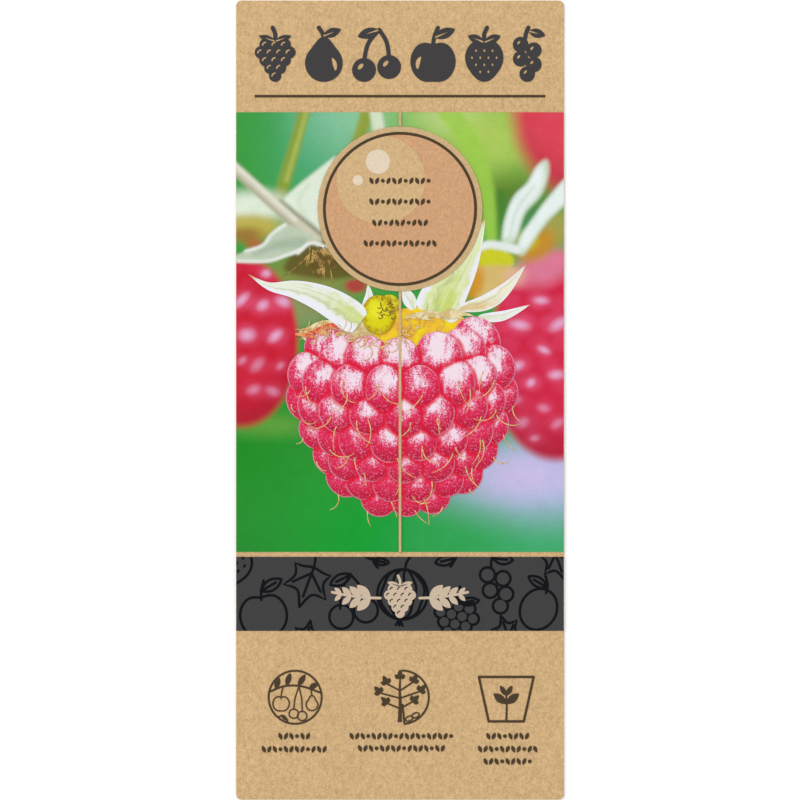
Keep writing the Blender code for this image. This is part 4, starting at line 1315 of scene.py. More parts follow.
@dataclass
class Background:
    """Garden out of focus behind the berry: soft patches, stems, sepals, stamens and berries."""

    pitch: float = 0.36
    seed: int = 31
    stamen_count: int = 26
    berries: tuple[SoftBerry, ...] = (
        SoftBerry((40.0, 62.5), (16.4, 20.0), 3.4, (222, 66, 84), (226, 82, 100), cell=9.0),
        SoftBerry(
            (-34.0, 12.4), (12.4, 18.3), 1.2, (204, 22, 48), (216, 46, 78),
            ((-33.7, 21.3), (-28.8, 20.0), (-24.4, 20.9), (-28.2, 27.2), (-32.5, 14.1), (-26.6, 13.3)),
            ((-33.6, 8.0), (-30.2, 7.2), (-25.4, 7.4), (-31.6, 2.6), (-27.0, 1.4)), 5.4, 7,
        ),
        SoftBerry(
            (33.5, 9.4), (14.8, 22.4), 1.2, (212, 34, 70), (226, 70, 108),
            ((30.2, 20.8), (25.4, 16.0), (30.6, 10.4), (28.2, 3.4), (33.6, 5.4), (24.6, 7.6), (34.0, 15.8)),
            ((30.9, -1.4), (26.0, -4.6), (33.2, -5.2), (29.2, -8.4), (24.6, 0.4)), 5.2, 9,
        ),
    )

    def greens(self, canvas: Canvas) -> None:
        """Lay the greens and the hazes.

        Args:
            canvas: Canvas that they go on.
        """
        for shade, place, reach, share in (
            ((60, 158, 66), (-33.0, 58.0), (16.0, 18.0), 0.9),
            ((80, 174, 124), (-15.5, 55.0), (9.5, 14.0), 0.95),
            ((140, 202, 166), (-9.0, 61.0), (10.0, 8.0), 0.9),
            ((24, 142, 32), (-38.0, -10.0), (26.0, 18.0), 0.95),
            ((20, 130, 34), (-38.0, -38.0), (24.0, 11.0), 0.7),
            ((4, 160, 46), (-4.0, -30.0), (17.0, 13.0), 0.95),
            ((150, 196, 80), (15.0, 57.0), (16.0, 16.0), 1.0),
            ((206, 222, 150), (10.5, 60.5), (6.0, 3.4), 0.7),
            ((178, 206, 94), (20.0, 55.5), (7.5, 6.0), 0.9),
            ((96, 128, 36), (24.0, 43.5), (7.5, 4.6), 0.95),
            ((62, 138, 84), (27.0, 38.5), (4.5, 4.5), 0.7),
            ((66, 174, 116), (28.0, -31.0), (20.0, 10.0), 0.95),
            ((178, 192, 236), (32.0, -16.6), (19.0, 7.6), 1.0),
            ((208, 192, 234), (26.5, -16.0), (10.5, 4.6), 0.9),
            ((40, 164, 76), (12.5, -31.5), (10.0, 6.0), 0.7),
            ((120, 172, 72), (-28.0, -5.4), (9.0, 2.2), 0.55),
            ((146, 152, 104), (-20.5, 20.4), (8.0, 4.8), 0.95),
            ((138, 142, 66), (-19.0, 27.0), (10.0, 5.6), 0.95),
        ):
            canvas.patch(shade, place, reach, share)

    def stems(self, canvas: Canvas) -> None:
        """Lay the stems at the top and the bright stripe beside the badge.

        Args:
            canvas: Canvas that they go on.
        """
        for shade, widths, blur, share, points in (
            (
                (140, 160, 56), (2.4, 2.8), 0.8, 0.95,
                ((-19.8, 64.0), (-22.0, 56.0), (-24.6, 47.0), (-26.0, 42.0)),
            ),
            ((182, 196, 96), (0.8, 0.9), 0.6, 0.7, ((-19.4, 64.0), (-21.6, 56.0), (-24.2, 47.0))),
            ((146, 160, 54), (2.8, 2.6), 0.7, 0.95, ((-6.4, 64.0), (-8.0, 58.0), (-10.6, 51.0))),
            ((222, 232, 206), (2.6, 2.6), 0.6, 0.9, ((-5.6, 64.0), (-4.4, 57.0))),
            (
                (158, 206, 76), (4.4, 2.8), 0.9, 0.85,
                ((10.0, 62.0), (15.6, 54.0), (18.6, 44.0), (20.0, 32.0)),
            ),
            ((66, 128, 44), (2.0, 2.2), 0.9, 0.8, ((21.6, 44.0), (21.8, 33.6))),
        ):
            canvas.ribbon(shade, widths, blur, share, *points)

    def left_sepals(self, canvas: Canvas) -> None:
        """Lay the leaf, the stem, the sepal and the shade over the berry at the left.

        Args:
            canvas: Canvas that they go on.
        """
        mint, cream = (230, 241, 222), (238, 242, 236)
        canvas.patch(mint, (-31.5, 41.2), (8.0, 3.4), 0.95, 0.6)
        canvas.patch((192, 178, 78), (-32.0, 37.0), (6.4, 2.6), 0.95, 0.5)
        canvas.patch((152, 104, 46), (-33.0, 35.2), (3.6, 1.6), 0.8, 0.7)
        canvas.patch((200, 78, 50), (-31.0, 33.2), (1.8, 1.1), 0.7, 0.8)
        leaf = ((-14.0, 52.0), (-24.4, 43.4), (-23.4, 40.6), (-18.4, 35.0), (-12.0, 36.0))
        canvas.form(mint, 0.6, 0.97, *leaf)
        canvas.ribbon((196, 212, 188), (0.8, 0.8), 0.8, 0.5, (-19.6, 46.0), (-21.6, 42.0), (-18.6, 37.0))
        stem = [(-36.5, 50.6), (-31.0, 45.6), (-26.4, 41.4), (-22.4, 37.8), (-18.0, 34.0)]
        canvas.ribbon((112, 106, 76), (1.8, 2.8), 0.6, 0.8, *[(x + 0.9, y + 0.5) for x, y in stem[2:]])
        canvas.ribbon((212, 208, 186), (2.2, 2.8), 0.5, 0.97, *stem)
        canvas.ribbon((240, 240, 226), (0.7, 0.7), 0.5, 0.7, *[(x + 0.1, y + 0.7) for x, y in stem[:4]])
        canvas.ribbon((160, 154, 124), (0.6, 0.9), 0.5, 0.7, *[(x - 0.5, y - 0.7) for x, y in stem])
        shadow = ((-22.0, 32.8), (-16.0, 33.4), (-9.0, 27.4), (-15.0, 25.8), (-24.6, 27.6))
        canvas.form((98, 88, 34), 0.9, 0.95, *shadow)
        sepal = (
            (-18.4, 35.0), (-24.3, 37.6), (-27.4, 35.6), (-29.2, 33.2), (-32.0, 32.2), (-36.4, 30.2),
            (-34.4, 29.4), (-28.3, 29.4), (-24.4, 30.6), (-21.6, 31.6),
        )
        canvas.form((192, 207, 182), 0.4, 1.0, *sepal)
        upper_edge = ((-24.6, 37.4), (-27.4, 35.4), (-29.4, 33.0), (-33.0, 31.8))
        lower_edge = ((-34.6, 29.7), (-28.3, 29.7), (-24.4, 30.9), (-21.0, 32.2))
        canvas.ribbon((160, 180, 156), (0.8, 2.4), 0.9, 0.75, (-31.0, 31.2), (-26.4, 33.0), (-21.0, 33.6))
        canvas.ribbon(cream, (0.7, 0.6), 0.4, 0.9, *upper_edge)
        canvas.ribbon(cream, (0.6, 0.7), 0.35, 0.9, *lower_edge)
        canvas.ribbon((240, 242, 234), (0.7, 0.9), 0.35, 0.95, (-21.8, 31.4), (-18.9, 33.6), (-15.2, 32.2))
        canvas.patch((180, 48, 58), (-9.4, 24.4), (2.4, 1.5), 0.9, 0.5)

    def right_sepals(self, canvas: Canvas) -> None:
        """Lay the yellow base and the sepals of the berry at the right.

        Args:
            canvas: Canvas that they go on.
        """
        base = ((14.5, 31.0), (18.0, 32.6), (23.0, 31.8), (24.0, 28.6), (17.0, 27.4))
        foot = ((16.4, 28.4), (22.0, 28.8), (25.6, 27.0), (22.0, 22.6), (16.0, 21.6))
        canvas.patch((226, 132, 160), (31.0, 28.6), (6.5, 3.6), 0.85, 0.6, 20.0)
        canvas.patch((172, 164, 80), (33.4, 36.8), (3.6, 3.6), 0.9, 0.6)
        canvas.patch((202, 142, 38), (29.0, 33.0), (4.4, 3.0), 0.95, 0.5, 30.0)
        canvas.patch((192, 190, 44), (27.4, 34.2), (2.0, 2.0), 0.9, 0.6)
        canvas.form((206, 206, 36), 0.6, 1.0, *base)
        canvas.form((216, 186, 112), 0.7, 1.0, *foot)
        canvas.patch((214, 148, 26), (15.8, 25.0), (2.0, 3.6), 0.9, 0.5, -15.0)
        canvas.patch((232, 180, 160), (24.6, 26.4), (2.4, 2.0), 0.7, 0.7, 30.0)
        upright = (
            (21.6, 33.0), (22.2, 37.8), (24.3, 43.2), (27.6, 46.6), (29.7, 50.4), (31.4, 51.2), (31.8, 48.4),
            (30.2, 43.8), (26.6, 39.6), (24.5, 33.6),
        )
        leaning = (
            (24.8, 31.4), (25.6, 34.4), (28.6, 38.8), (32.2, 43.6), (37.0, 48.6), (38.0, 44.6), (32.0, 38.6),
            (28.4, 33.8), (26.4, 31.0),
        )
        for outline in (upright, leaning):
            canvas.form((206, 224, 200), 0.7, 1.0, *outline)
            middle = Vector((sum(x for x, _ in outline), sum(y for _, y in outline))) / len(outline)
            inner = [tuple(Vector(point).lerp(middle, 0.16) + Vector((-0.3, 0.2))) for point in outline]
            canvas.form((236, 246, 244), 0.8, 0.95, *inner)
        canvas.ribbon((184, 206, 178), (0.5, 0.4), 0.7, 0.5, (23.4, 35.0), (25.2, 41.0), (28.6, 45.6))
        canvas.ribbon((236, 242, 240), (1.4, 1.9), 0.5, 0.95, (15.6, 31.8), (19.2, 33.2), (24.8, 32.2))

    def stamens(self) -> list[np.ndarray]:
        """Work out the tan stamens that fan down under the sepal at the left.

        Returns:
            The points along each stamen.
        """
        rng = np.random.default_rng(self.seed)
        level = Area.of("picture_panel").high + STRAND_DEPTH
        paths = []
        for index in range(self.stamen_count):
            start = (rng.uniform(-19.6, -15.4), rng.uniform(31.0, 32.8))
            heading = -128.0 + 3.6 * index + rng.uniform(-9.0, 9.0)
            flat = bent_path(start, heading, rng.uniform(3.4, 7.2), rng.uniform(-45.0, 45.0), 10)
            paths.append(at_level(flat, level))
        return paths

    def build(self) -> None:
        """Paint the canvas, add it as the picture's panel, and add the stamens."""
        canvas = Canvas(Area.of("picture_panel"), self.pitch, (58, 160, 66))
        self.greens(canvas)
        for berry in self.berries:
            berry.paint(canvas)
        self.stems(canvas)
        self.left_sepals(canvas)
        self.right_sepals(canvas)
        behind = [f"soft_berry_{side}" for side in ("left", "right", "far")]
        behind += [f"back_sepal_{number}" for number in range(1, 6)]
        mesh = canvas.mesh("picture_paint")
        add_piece("picture_paint", mesh, PaintFinish().make(), "picture_print", "picture_panel", *behind)
        add_strands("back_stamens", self.stamens(), 0.34, 0.4, Palette.SOFT_STAMEN, "picture_print")


@dataclass
class RipeBerry:
    """Ripe raspberry in low relief: rings of domes about its axis, with hairs on them."""

    base: Point = (0.1, 14.9)
    tilt: float = 2.0
    nod: float = 13.0
    length: float = 42.5
    half_width: float = 24.9
    top_cell: float = 8.9
    tip_cell: float = 6.1
    low: float = 0.605
    high: float = 0.90
    seed: int = 11
    segments: int = 32
    rings: int = 14
    row_spacing: float = 0.80
    side_spacing: float = 0.93
    hair_count: int = 40
    rim_hair_count: int = 12
    hair_width: float = 0.25
    frames: list[Matrix] = field(default_factory=list)
    radii: list[Vector] = field(default_factory=list)

    def girth(self, share: float) -> float:
        """Girth at a share of the length, as a share of the half width."""
        shoulder = 0.70 + 0.30 * sin(pi / 2.0 * min(share / 0.26, 1.0))
        return shoulder * max(1.0 - share ** 2.5, 0.0) ** 0.62

    def lay_cells(self) -> None:
        """Work out the frame and the radii of each dome that faces the front."""
        rng = np.random.default_rng(self.seed)
        shares = np.linspace(0.0, 1.0, 301)
        reach = np.array([self.half_width * self.girth(share) for share in shares]) - self.top_cell * 0.26
        reach = np.maximum(reach, 0.0)
        steps = np.hypot(np.diff(reach), self.length * np.diff(shares))
        travelled = np.concatenate([[0.0], np.cumsum(steps)])
        whole = Euler((radians(self.nod), 0.0, radians(self.tilt)), "XYZ").to_matrix()
        at = self.top_cell * 0.30
        row = 0
        while at < travelled[-1]:
            cell = self.top_cell + (self.tip_cell - self.top_cell) * at / travelled[-1]
            share = np.interp(at, travelled, shares)
            radius = np.interp(at, travelled, reach)
            ahead = np.interp(at + 1.0, travelled, reach) - radius
            fall = sqrt(max(1.0 - ahead * ahead, 0.0))
            count = max(1, round(2.0 * pi * radius / (cell * self.side_spacing)))
            for index in range(count):
                angle = 2.0 * pi * (index + 0.5 * (row % 2) + rng.uniform(-0.09, 0.09)) / count
                outward = Vector((fall * sin(angle), ahead, fall * cos(angle)))
                around = Vector((cos(angle), 0.0, -sin(angle)))
                along = outward.cross(around)
                place = Vector((radius * sin(angle), -self.length * share, radius * cos(angle)))
                place += along * rng.uniform(-0.3, 0.3) + around * rng.uniform(-0.25, 0.25)
                size = cell * rng.uniform(0.95, 1.07)
                turn = Matrix((around, along, outward)).transposed()
                place = whole @ (place - outward * size * 0.10) + Vector((*self.base, 0.0))
                if place.z > -2.0:
                    self.frames.append(Matrix.Translation(place) @ (whole @ turn).to_4x4())
                    self.radii.append(Vector((size * 0.545, size * rng.uniform(0.56, 0.62), size * 0.52)))
            at += cell * self.row_spacing
            row += 1

    def tree(self, material: Material) -> Tree:
        """Build the tree that puts a closed dome on every point.

        Args:
            material: Finish of the domes.

        Returns:
            The tree, with inputs for the dome's faces.
        """
        tree = Tree("drupelets")
        segments, rings = tree.size("Segments", "Int"), tree.size("Rings", "Int")
        values = {"Segments": segments, "Rings": rings, "Radius": 1.0}
        ball = tree.add("MeshUVSphere", values).outputs["Mesh"]
        place = tree.add("SeparateXYZ", {0: tree.add("InputPosition").outputs[0]}).outputs
        raised = tree.vector(X=place["X"], Y=place["Y"], Z=tree.math("MAXIMUM", place["Z"], -0.15))
        dome = tree.add("SetPosition", {"Geometry": ball, "Position": raised}).outputs[0]
        shaded = tree.add("SetShadeSmooth", {"Geometry": dome}).outputs[0]
        values = {"Points": tree.geometry, "Instance": shaded}
        values["Rotation"] = tree.stored("turn", "FLOAT_VECTOR")
        values["Scale"] = tree.stored("size", "FLOAT_VECTOR")
        tree.finish(tree.add("InstanceOnPoints", values).outputs[0], material)
        return tree

    def closeness(self, places: np.ndarray, own: np.ndarray) -> np.ndarray:
        """Find how near each point is to a neighbouring dome.

        Args:
            places: The points.
            own: Number of the dome that each point is on.

        Returns:
            Distance to the nearest other dome, 1 being its surface.
        """
        nearest = np.full(len(places), 9.0)
        for number, (place, radii) in enumerate(zip(self.frames, self.radii)):
            turn = np.array(place.to_3x3())
            local = (places - np.array(place.translation)) @ turn / np.array(radii)
            distance = np.linalg.norm(local, axis=1)
            nearest = np.where(own == number, nearest, np.minimum(nearest, distance))
        return nearest

    def relief(self, height: np.ndarray) -> np.ndarray:
        """Height over the card for a height in the round berry."""
        deepest, highest = -8.0, self.half_width + 4.0
        share = np.clip((height - deepest) / (highest - deepest), 0.0, 1.0)
        return self.low + share * (self.high - self.low)

    def surface_height(self, x: float, y: float) -> float:
        """Find the height of the round berry over one place.

        Args:
            x: Place across the card.
            y: Place along the card.

        Returns:
            Height of the nearest dome to the viewer, or 0 beside the berry.
        """
        best = 0.0
        for place, radii in zip(self.frames, self.radii):
            inverse = Matrix.Diagonal([1.0 / part ** 2 for part in radii])
            turn = place.to_3x3()
            form = turn @ inverse @ turn.transposed()
            dx, dy = x - place.translation.x, y - place.translation.y
            square = form[2][2]
            slope = 2.0 * (form[0][2] * dx + form[1][2] * dy)
            rest = form[0][0] * dx * dx + 2.0 * form[0][1] * dx * dy + form[1][1] * dy * dy - 1.0
            inside = slope * slope - 4.0 * square * rest
            if inside > 0.0:
                best = max(best, place.translation.z + (-slope + sqrt(inside)) / (2.0 * square))
        return best

    def hairs(self) -> list[np.ndarray]:
        """Work out the dry hairs that hang from the domes.

        Returns:
            The points along each hair.
        """
        rng = np.random.default_rng(self.seed + 1)
        paths = []
        lower = self.base[1] - 0.16 * self.length
        places = [place.translation for place in self.frames]
        fronts = [number for number, place in enumerate(places) if place.z > 6.0 and place.y < lower]
        rims = [number for number, place in enumerate(places) if place.z < 3.0 and place.y < lower - 4.0]
        fronts = np.resize(rng.permutation(fronts), self.hair_count)
        for number in [*fronts, *rng.permutation(rims)[:self.rim_hair_count]]:
            top = 0.8 * self.radii[number].z
            start = self.frames[number] @ Vector((rng.uniform(-2.0, 2.0), rng.uniform(-2.6, 0.5), top))
            side = 1.0 if start.x > self.base[0] else -1.0
            heading = -90.0 + side * rng.uniform(-34.0, 30.0)
            length = rng.uniform(2.6, 6.6) * (0.75 if number in rims else 1.0)
            bend = rng.choice((-1.0, 1.0)) * rng.uniform(15.0, 110.0)
            flat = bent_path((start.x, start.y), heading, length, bend, 12)
            heights = np.array([self.surface_height(x, y) for x, y in flat])
            paths.append(at_level(flat, self.relief(np.maximum.accumulate(heights[::-1])[::-1]) + 0.012))
        return paths

    def build(self) -> None:
        """Add the domes and the hairs."""
        self.lay_cells()
        material = BerryFinish().make()
        places = np.array([place.translation for place in self.frames])
        points = point_mesh("berry_points", places)
        store(points, "turn", np.array([place.to_euler() for place in self.frames]))
        store(points, "size", np.array(self.radii) * MM)
        rng = np.random.default_rng(self.seed + 2)
        store(points, "tint", rng.uniform(-0.5, 0.5, len(places)))
        store(points, "cell", np.arange(len(places), dtype=float))
        faces = {"Segments": self.segments, "Rings": self.rings}
        mesh = self.tree(material).grow("berry_domes", points, faces)
        around = mesh_points(mesh)
        form = np.empty(len(around) * 3, np.float32)
        mesh.vertex_normals.foreach_get("vector", form)
        own = np.empty(len(around), np.float32)
        mesh.attributes["cell"].data.foreach_get("value", own)
        near = self.closeness(around, own.astype(int))
        store(mesh, "form", form.reshape(-1, 3))
        store(mesh, "hollow", 1.0 - smooth(near, 1.0, 1.30))
        store(mesh, "rise", (around[:, 1] - around[:, 1].mean()) / self.length)
        reach = np.array([radii.x for radii in self.radii])[own.astype(int)]
        local = (around - places[own.astype(int)])[:, :2] / reach[:, None]
        store(mesh, "crest", 1.0 - np.hypot(local[:, 0] * 1.1, local[:, 1] - 0.34) / 0.92)
        around[:, 2] = self.relief(around[:, 2])
        mesh.vertices.foreach_set("co", (around * MM).astype(np.float32).ravel())
        mesh.update()
        add_piece("berry_domes", mesh, material, "berry_print", "berry_left", "berry_right")
        add_strands("berry_hairs", self.hairs(), self.hair_width, 0.55, Palette.STRAW, "berry_print")


@dataclass(frozen=True)
class Sepal:
    """Long pointed sepal: its finish, the points along its middle and half of its greatest width."""

    finish: Palette
    points: tuple[Point, ...]
    half_width: float
    fullest: float

    def shape(self, share: float) -> float:
        """Half width at a share of the way."""
        rising = sin(pi / 2.0 * min((share + 0.12) / (self.fullest + 0.12), 1.0))
        falling = cos(pi / 2.0 * max(share - self.fullest, 0.0) / (1.0 - self.fullest))
        return self.half_width * rising * max(falling, 0.02) ** 1.35


@dataclass
class Calyx:
    """Knob, collar and long sepals over the ripe berry."""

    knob: Point = (-4.6, 18.2)
    knob_reach: Point = (3.6, 4.2)
    knob_lobe: Point = (-2.3, 20.5)
    lobe_reach: Point = (2.2, 2.0)
    sepals: tuple[Sepal, ...] = (
        Sepal(
            Palette.CREAM_BLADE,
            ((-8.6, 16.4), (-12.3, 19.2), (-17.0, 21.8), (-22.5, 23.6), (-28.0, 24.3), (-32.5, 26.9)),
            3.4, 0.12,
        ),
        Sepal(Palette.WHITE_BLADE, ((-9.4, 16.2), (-7.4, 19.2), (-6.6, 22.0), (-6.9, 25.0)), 1.15, 0.5),
        Sepal(Palette.WHITE_BLADE, ((3.0, 19.4), (1.8, 21.8), (0.5, 24.6)), 1.4, 0.45),
        Sepal(
            Palette.GREEN_BLADE,
            ((7.4, 18.0), (9.8, 23.2), (13.5, 29.5), (16.3, 34.3), (18.3, 38.9)), 4.9, 0.10,
        ),
        Sepal(Palette.GOLD_BLADE, ((12.8, 19.6), (18.5, 20.9), (23.0, 24.2), (27.0, 29.0)), 1.7, 0.4),
        Sepal(Palette.WHITE_BLADE, ((16.8, 17.6), (22.0, 18.0), (27.9, 20.4)), 1.1, 0.4),
    )
    collar: tuple[Point, ...] = (
        (-6.0, 12.0), (-4.5, 16.2), (-1.0, 19.0), (3.5, 19.8), (8.5, 20.0),
        (12.6, 19.0), (13.2, 15.6), (6.0, 12.0), (0.0, 9.6),
    )
    shoulder: tuple[Point, ...] = (
        (-21.6, 14.6), (-17.0, 16.4), (-12.0, 17.2), (-7.0, 17.8), (-4.0, 15.0),
        (-5.0, 11.0), (-10.0, 11.4), (-15.0, 12.6), (-20.0, 12.6),
    )
    fibre_route: tuple[Point, ...] = (
        (-22.0, 14.6), (-14.0, 14.2), (-9.5, 12.2), (-3.0, 11.6), (0.5, 14.0), (6.5, 18.0), (14.5, 18.4),
    )
    fibre_level: float = 0.95
    front_level: float = 0.92
    knob_level: float = 0.89
    lobe_level: float = 0.87
    fibre_count: int = 44
    stamen_count: int = 20
    seed: int = 23

    def fibres(self) -> list[np.ndarray]:
        """Work out the curled fibres round the collar and along the berry's shoulder.

        Returns:
            The points along each fibre.
        """
        rng = np.random.default_rng(self.seed)
        route = np.array(curve_path(self.fibre_route, 12))
        paths = []
        for index in rng.integers(0, len(route), self.fibre_count):
            start = route[index] + rng.uniform(-0.8, 0.8, 2)
            turn = rng.choice((-1.0, 1.0)) * rng.uniform(60.0, 210.0)
            flat = bent_path(tuple(start), rng.uniform(-30.0, 30.0), rng.uniform(1.8, 5.0), turn, 14)
            paths.append(at_level(flat, self.fibre_level))
        return paths

    def stamens(self) -> list[np.ndarray]:
        """Work out the short curled stamens at the upper right of the knob.

        Returns:
            The points along each stamen.
        """
        rng = np.random.default_rng(self.seed + 1)
        paths = []
        for _ in range(self.stamen_count):
            start = (self.knob[0] + rng.uniform(-0.4, 3.2), self.knob[1] + rng.uniform(-1.0, 3.4))
            turn = rng.choice((-1.0, 1.0)) * rng.uniform(60.0, 220.0)
            flat = bent_path(start, rng.uniform(0.0, 360.0), rng.uniform(0.7, 1.9), turn, 8)
            paths.append(at_level(flat, self.fibre_level - STRAND_DEPTH))
        return paths

    def petals(self, name: str, start: Point, step: Point, count: int, level: float) -> Mesh:
        """Make dry petal edges that lie side by side on the berry's shoulder.

        Args:
            name: Name of the mesh.
            start: Where the first of them starts.
            step: Way from one to the next.
            count: Number of them.
            level: Height of their underside.

        Returns:
            Their mesh.
        """
        rng = np.random.default_rng(self.seed + count)
        shapes = []
        for index in range(count):
            foot = (start[0] + step[0] * index, start[1] + step[1] * index + rng.uniform(-0.3, 0.3))
            heading, length = rng.uniform(0.0, 30.0), rng.uniform(4.0, 6.5)
            path = bent_path(foot, heading, length, rng.uniform(-50.0, -15.0), 10)
            shapes.append(blade(path, lambda t: 0.40 * sin(pi * min(t + 0.15, 1.0)) + 0.03))
        return film_mesh(name, Layers(shapes), level, level + 0.03)

    def build(self) -> None:
        """Add the collar, the sepals, the dry petals, and the knob with its stamens and fibres."""
        low = Area.of("picture_panel").high
        shoulder, collar = (curve_path([*way, way[0]], 6)[:-1] for way in (self.shoulder, self.collar))
        for name, outline, thickness, finish, slot, nodes in (
            ("shoulder", shoulder, 0.02, Palette.CREAM_PETAL, "calyx_print", ()),
            ("collar_glow", collar, 0.03, Palette.COLLAR, "collar_print", ("collar",)),
        ):
            mesh = film_mesh(name, Layers([outline]), low, low + thickness)
            add_piece(name, mesh, finish.material(), slot, *nodes)
        for index, sepal in enumerate(self.sepals):
            node = f"sepal_{index + 1}"
            level = self.front_level if index == 0 else low + 0.06 + 0.004 * index
            mesh = sheet_mesh(node + "_blade", curve_path(sepal.points, 9), sepal.shape, low, level)
            add_piece(node + "_blade", mesh, sepal.finish.material(), "sepal_print", node)
        for name, finish, start, step, count, level in (
            ("cream_petals", Palette.CREAM_PETAL, (-20.4, 15.0), (0.9, 0.22), 9, 0.84),
            ("dry_petals", Palette.PETAL, (-22.4, 13.8), (0.9, 0.22), 8, 0.87),
            ("collar_petals", Palette.CREAM_PETAL, (1.2, 17.8), (0.85, 0.03), 13, 0.76),
        ):
            add_piece(name, self.petals(name, start, step, count, level), finish.material(), "calyx_print")
        lobe = Layers([ellipse(self.knob_lobe, *self.lobe_reach, 32)])
        mesh = film_mesh("knob_lobe", lobe, low, self.lobe_level)
        add_piece("knob_lobe", mesh, Palette.LOBE.material(), "calyx_print")
        colours = (linear(238, 234, 44), linear(222, 214, 16), linear(178, 142, 22))
        look = RoundFinish("knob_paint", self.knob, self.knob_reach, *colours).make()
        knob = Layers([ellipse(self.knob, *self.knob_reach, 48)])
        mesh = film_mesh("knob_print", knob, low, self.knob_level)
        add_piece("knob_print", mesh, look, "calyx_print", "calyx")
        add_strands("stamens", self.stamens(), 0.20, 0.3, Palette.STAMEN, "calyx_print")
        add_strands("fibres", self.fibres(), 0.22, 0.4, Palette.STRAW, "calyx_print")


@dataclass
class CentreLine:
    """Thin kraft line down the middle of the picture."""

    def build(self) -> None:
        """Dress the two CAD nodes of the line."""
        for node in ("line_upper", "line_lower"):
            dress_node(node, Palette.RIM.material())


@dataclass
class Fruit:
    """Drawing of a fruit at unit size, either solid with bare marks or in lines."""

    bodies: list[Outline] = field(default_factory=list)
    cells: list[Outline] = field(default_factory=list)
    leaves: list[Outline] = field(default_factory=list)
    lines: list[Outline] = field(default_factory=list)
    inner: list[Outline] = field(default_factory=list)
    marks: list[Outline] = field(default_factory=list)
    veins: list[Outline] = field(default_factory=list)

    def add_leaf(self, base: Point, tip: Point, half_width: float) -> None:
        """Add a leaf with its middle vein.

        Args:
            base: Point where it starts.
            tip: Its tip.
            half_width: Half of its greatest width.
        """
        self.leaves.append(leaf_outline(base, tip, half_width))
        start, end = Vector(base), Vector(tip)
        self.veins.append([tuple(start.lerp(end, share)) for share in (0.04, 0.40, 0.72)])

    def add_stalk(self, *points: Point) -> None:
        """Add a smooth line through a few points."""
        self.lines.append(curve_path(points, 5))

    def add_crown(self, lean: float, reach: Point, half_width: float) -> None:
        """Add two leaves that spread from the top of the fruit."""
        for turn in (radians(lean), pi - radians(lean)):
            self.add_leaf((0.0, 0.19), (reach[0] * cos(turn), 0.22 + reach[1] * sin(turn)), half_width)

    def box(self) -> tuple[float, float, float, float]:
        """Left, bottom, right and top of the drawing."""
        outlines = self.bodies + self.cells + self.leaves + self.lines
        across, along = zip(*(point for outline in outlines for point in outline))
        return min(across), min(along), max(across), max(along)

    def solid(self, spot: Spot, width: float) -> Layers:
        """Outlines of the fruit as solid ink.

        Args:
            spot: Where it goes.
            width: Width of its lines.

        Returns:
            The shapes, with the marks and veins cut out.
        """
        shapes = [spot.put(outline) for outline in self.bodies + self.cells + self.leaves]
        shapes += [stroke(spot.put(line), width) for line in self.lines]
        bare = [spot.put(mark) for mark in self.marks]
        bare += [blade(spot.put(vein), lambda t: 0.014 * spot.size * (1.2 - t)) for vein in self.veins]
        return Layers(shapes, bare)

    def outlined(self, spot: Spot, width: float, limit: Outline | None = None) -> Layers:
        """Outlines of the fruit as a line drawing.

        Args:
            spot: Where it goes.
            width: Width of its lines.
            limit: Outline that it stays inside, or None.

        Returns:
            The lines, with round cells that hide each other's backs.
        """
        cells = [spot.put(outline) for outline in self.cells]
        closed = [spot.put(outline) for outline in self.bodies + self.leaves]
        over = [line for outline in closed for line in closed_stroke(outline, width)]
        over += [stroke(spot.put(line), width) for line in self.lines + self.inner + self.veins]
        return Layers(cells, [shrunk(outline, width) for outline in cells], over, limit)


def polar_outline(middle_y: float, radius: Widths, steps: int = 44) -> Outline:
    """Outline whose reach follows the angle from straight up."""
    turns = [2.0 * pi * step / steps for step in range(steps)]
    return [(-radius(turn) * sin(turn), middle_y + radius(turn) * cos(turn)) for turn in turns]


def bump(angle: float, at: float, width: float) -> float:
    """Bell-shaped bump of a polar outline about one angle."""
    away = abs((angle - at + pi) % (2.0 * pi) - pi)
    return exp(-(away / width) ** 2)


def dipped_round(middle_y: float, radius: float, top: float, foot: float) -> Outline:
    """Round outline with a dip at its top and a flatter foot, as of an apple."""
    return polar_outline(middle_y, lambda a: radius - top * bump(a, 0.0, 0.45) - foot * bump(a, pi, 0.4))


def staggered(counts: Sequence[int], across: float, top: float, drop: float) -> list[Point]:
    """Places in rows of so many each, every row about the middle."""
    rows = [(row, count, index) for row, count in enumerate(counts) for index in range(count)]
    return [((index - (count - 1) / 2) * across, top - drop * row) for row, count, index in rows]


def shine(start: Point, heading: float, length: float, bend: float) -> Outline:
    """Short curved mark left bare where a fruit shines."""
    path = bent_path(start, heading, length, bend, 8)
    return blade(path, lambda t: 0.036 * sin(pi * (0.12 + 0.8 * t)))


def apple() -> Fruit:
    """Draw an apple with a dip at its top and foot, a stalk and a leaf.

    Returns:
        Its drawing.
    """
    fruit = Fruit()
    fruit.bodies.append(dipped_round(-0.13, 0.37, 0.08, 0.04))
    fruit.add_leaf((0.02, 0.26), (0.36, 0.40), 0.085)
    fruit.add_stalk((0.0, 0.12), (0.02, 0.27), (0.08, 0.42))
    fruit.marks.append(shine((-0.25, -0.25), 100, 0.22, -50))
    return fruit


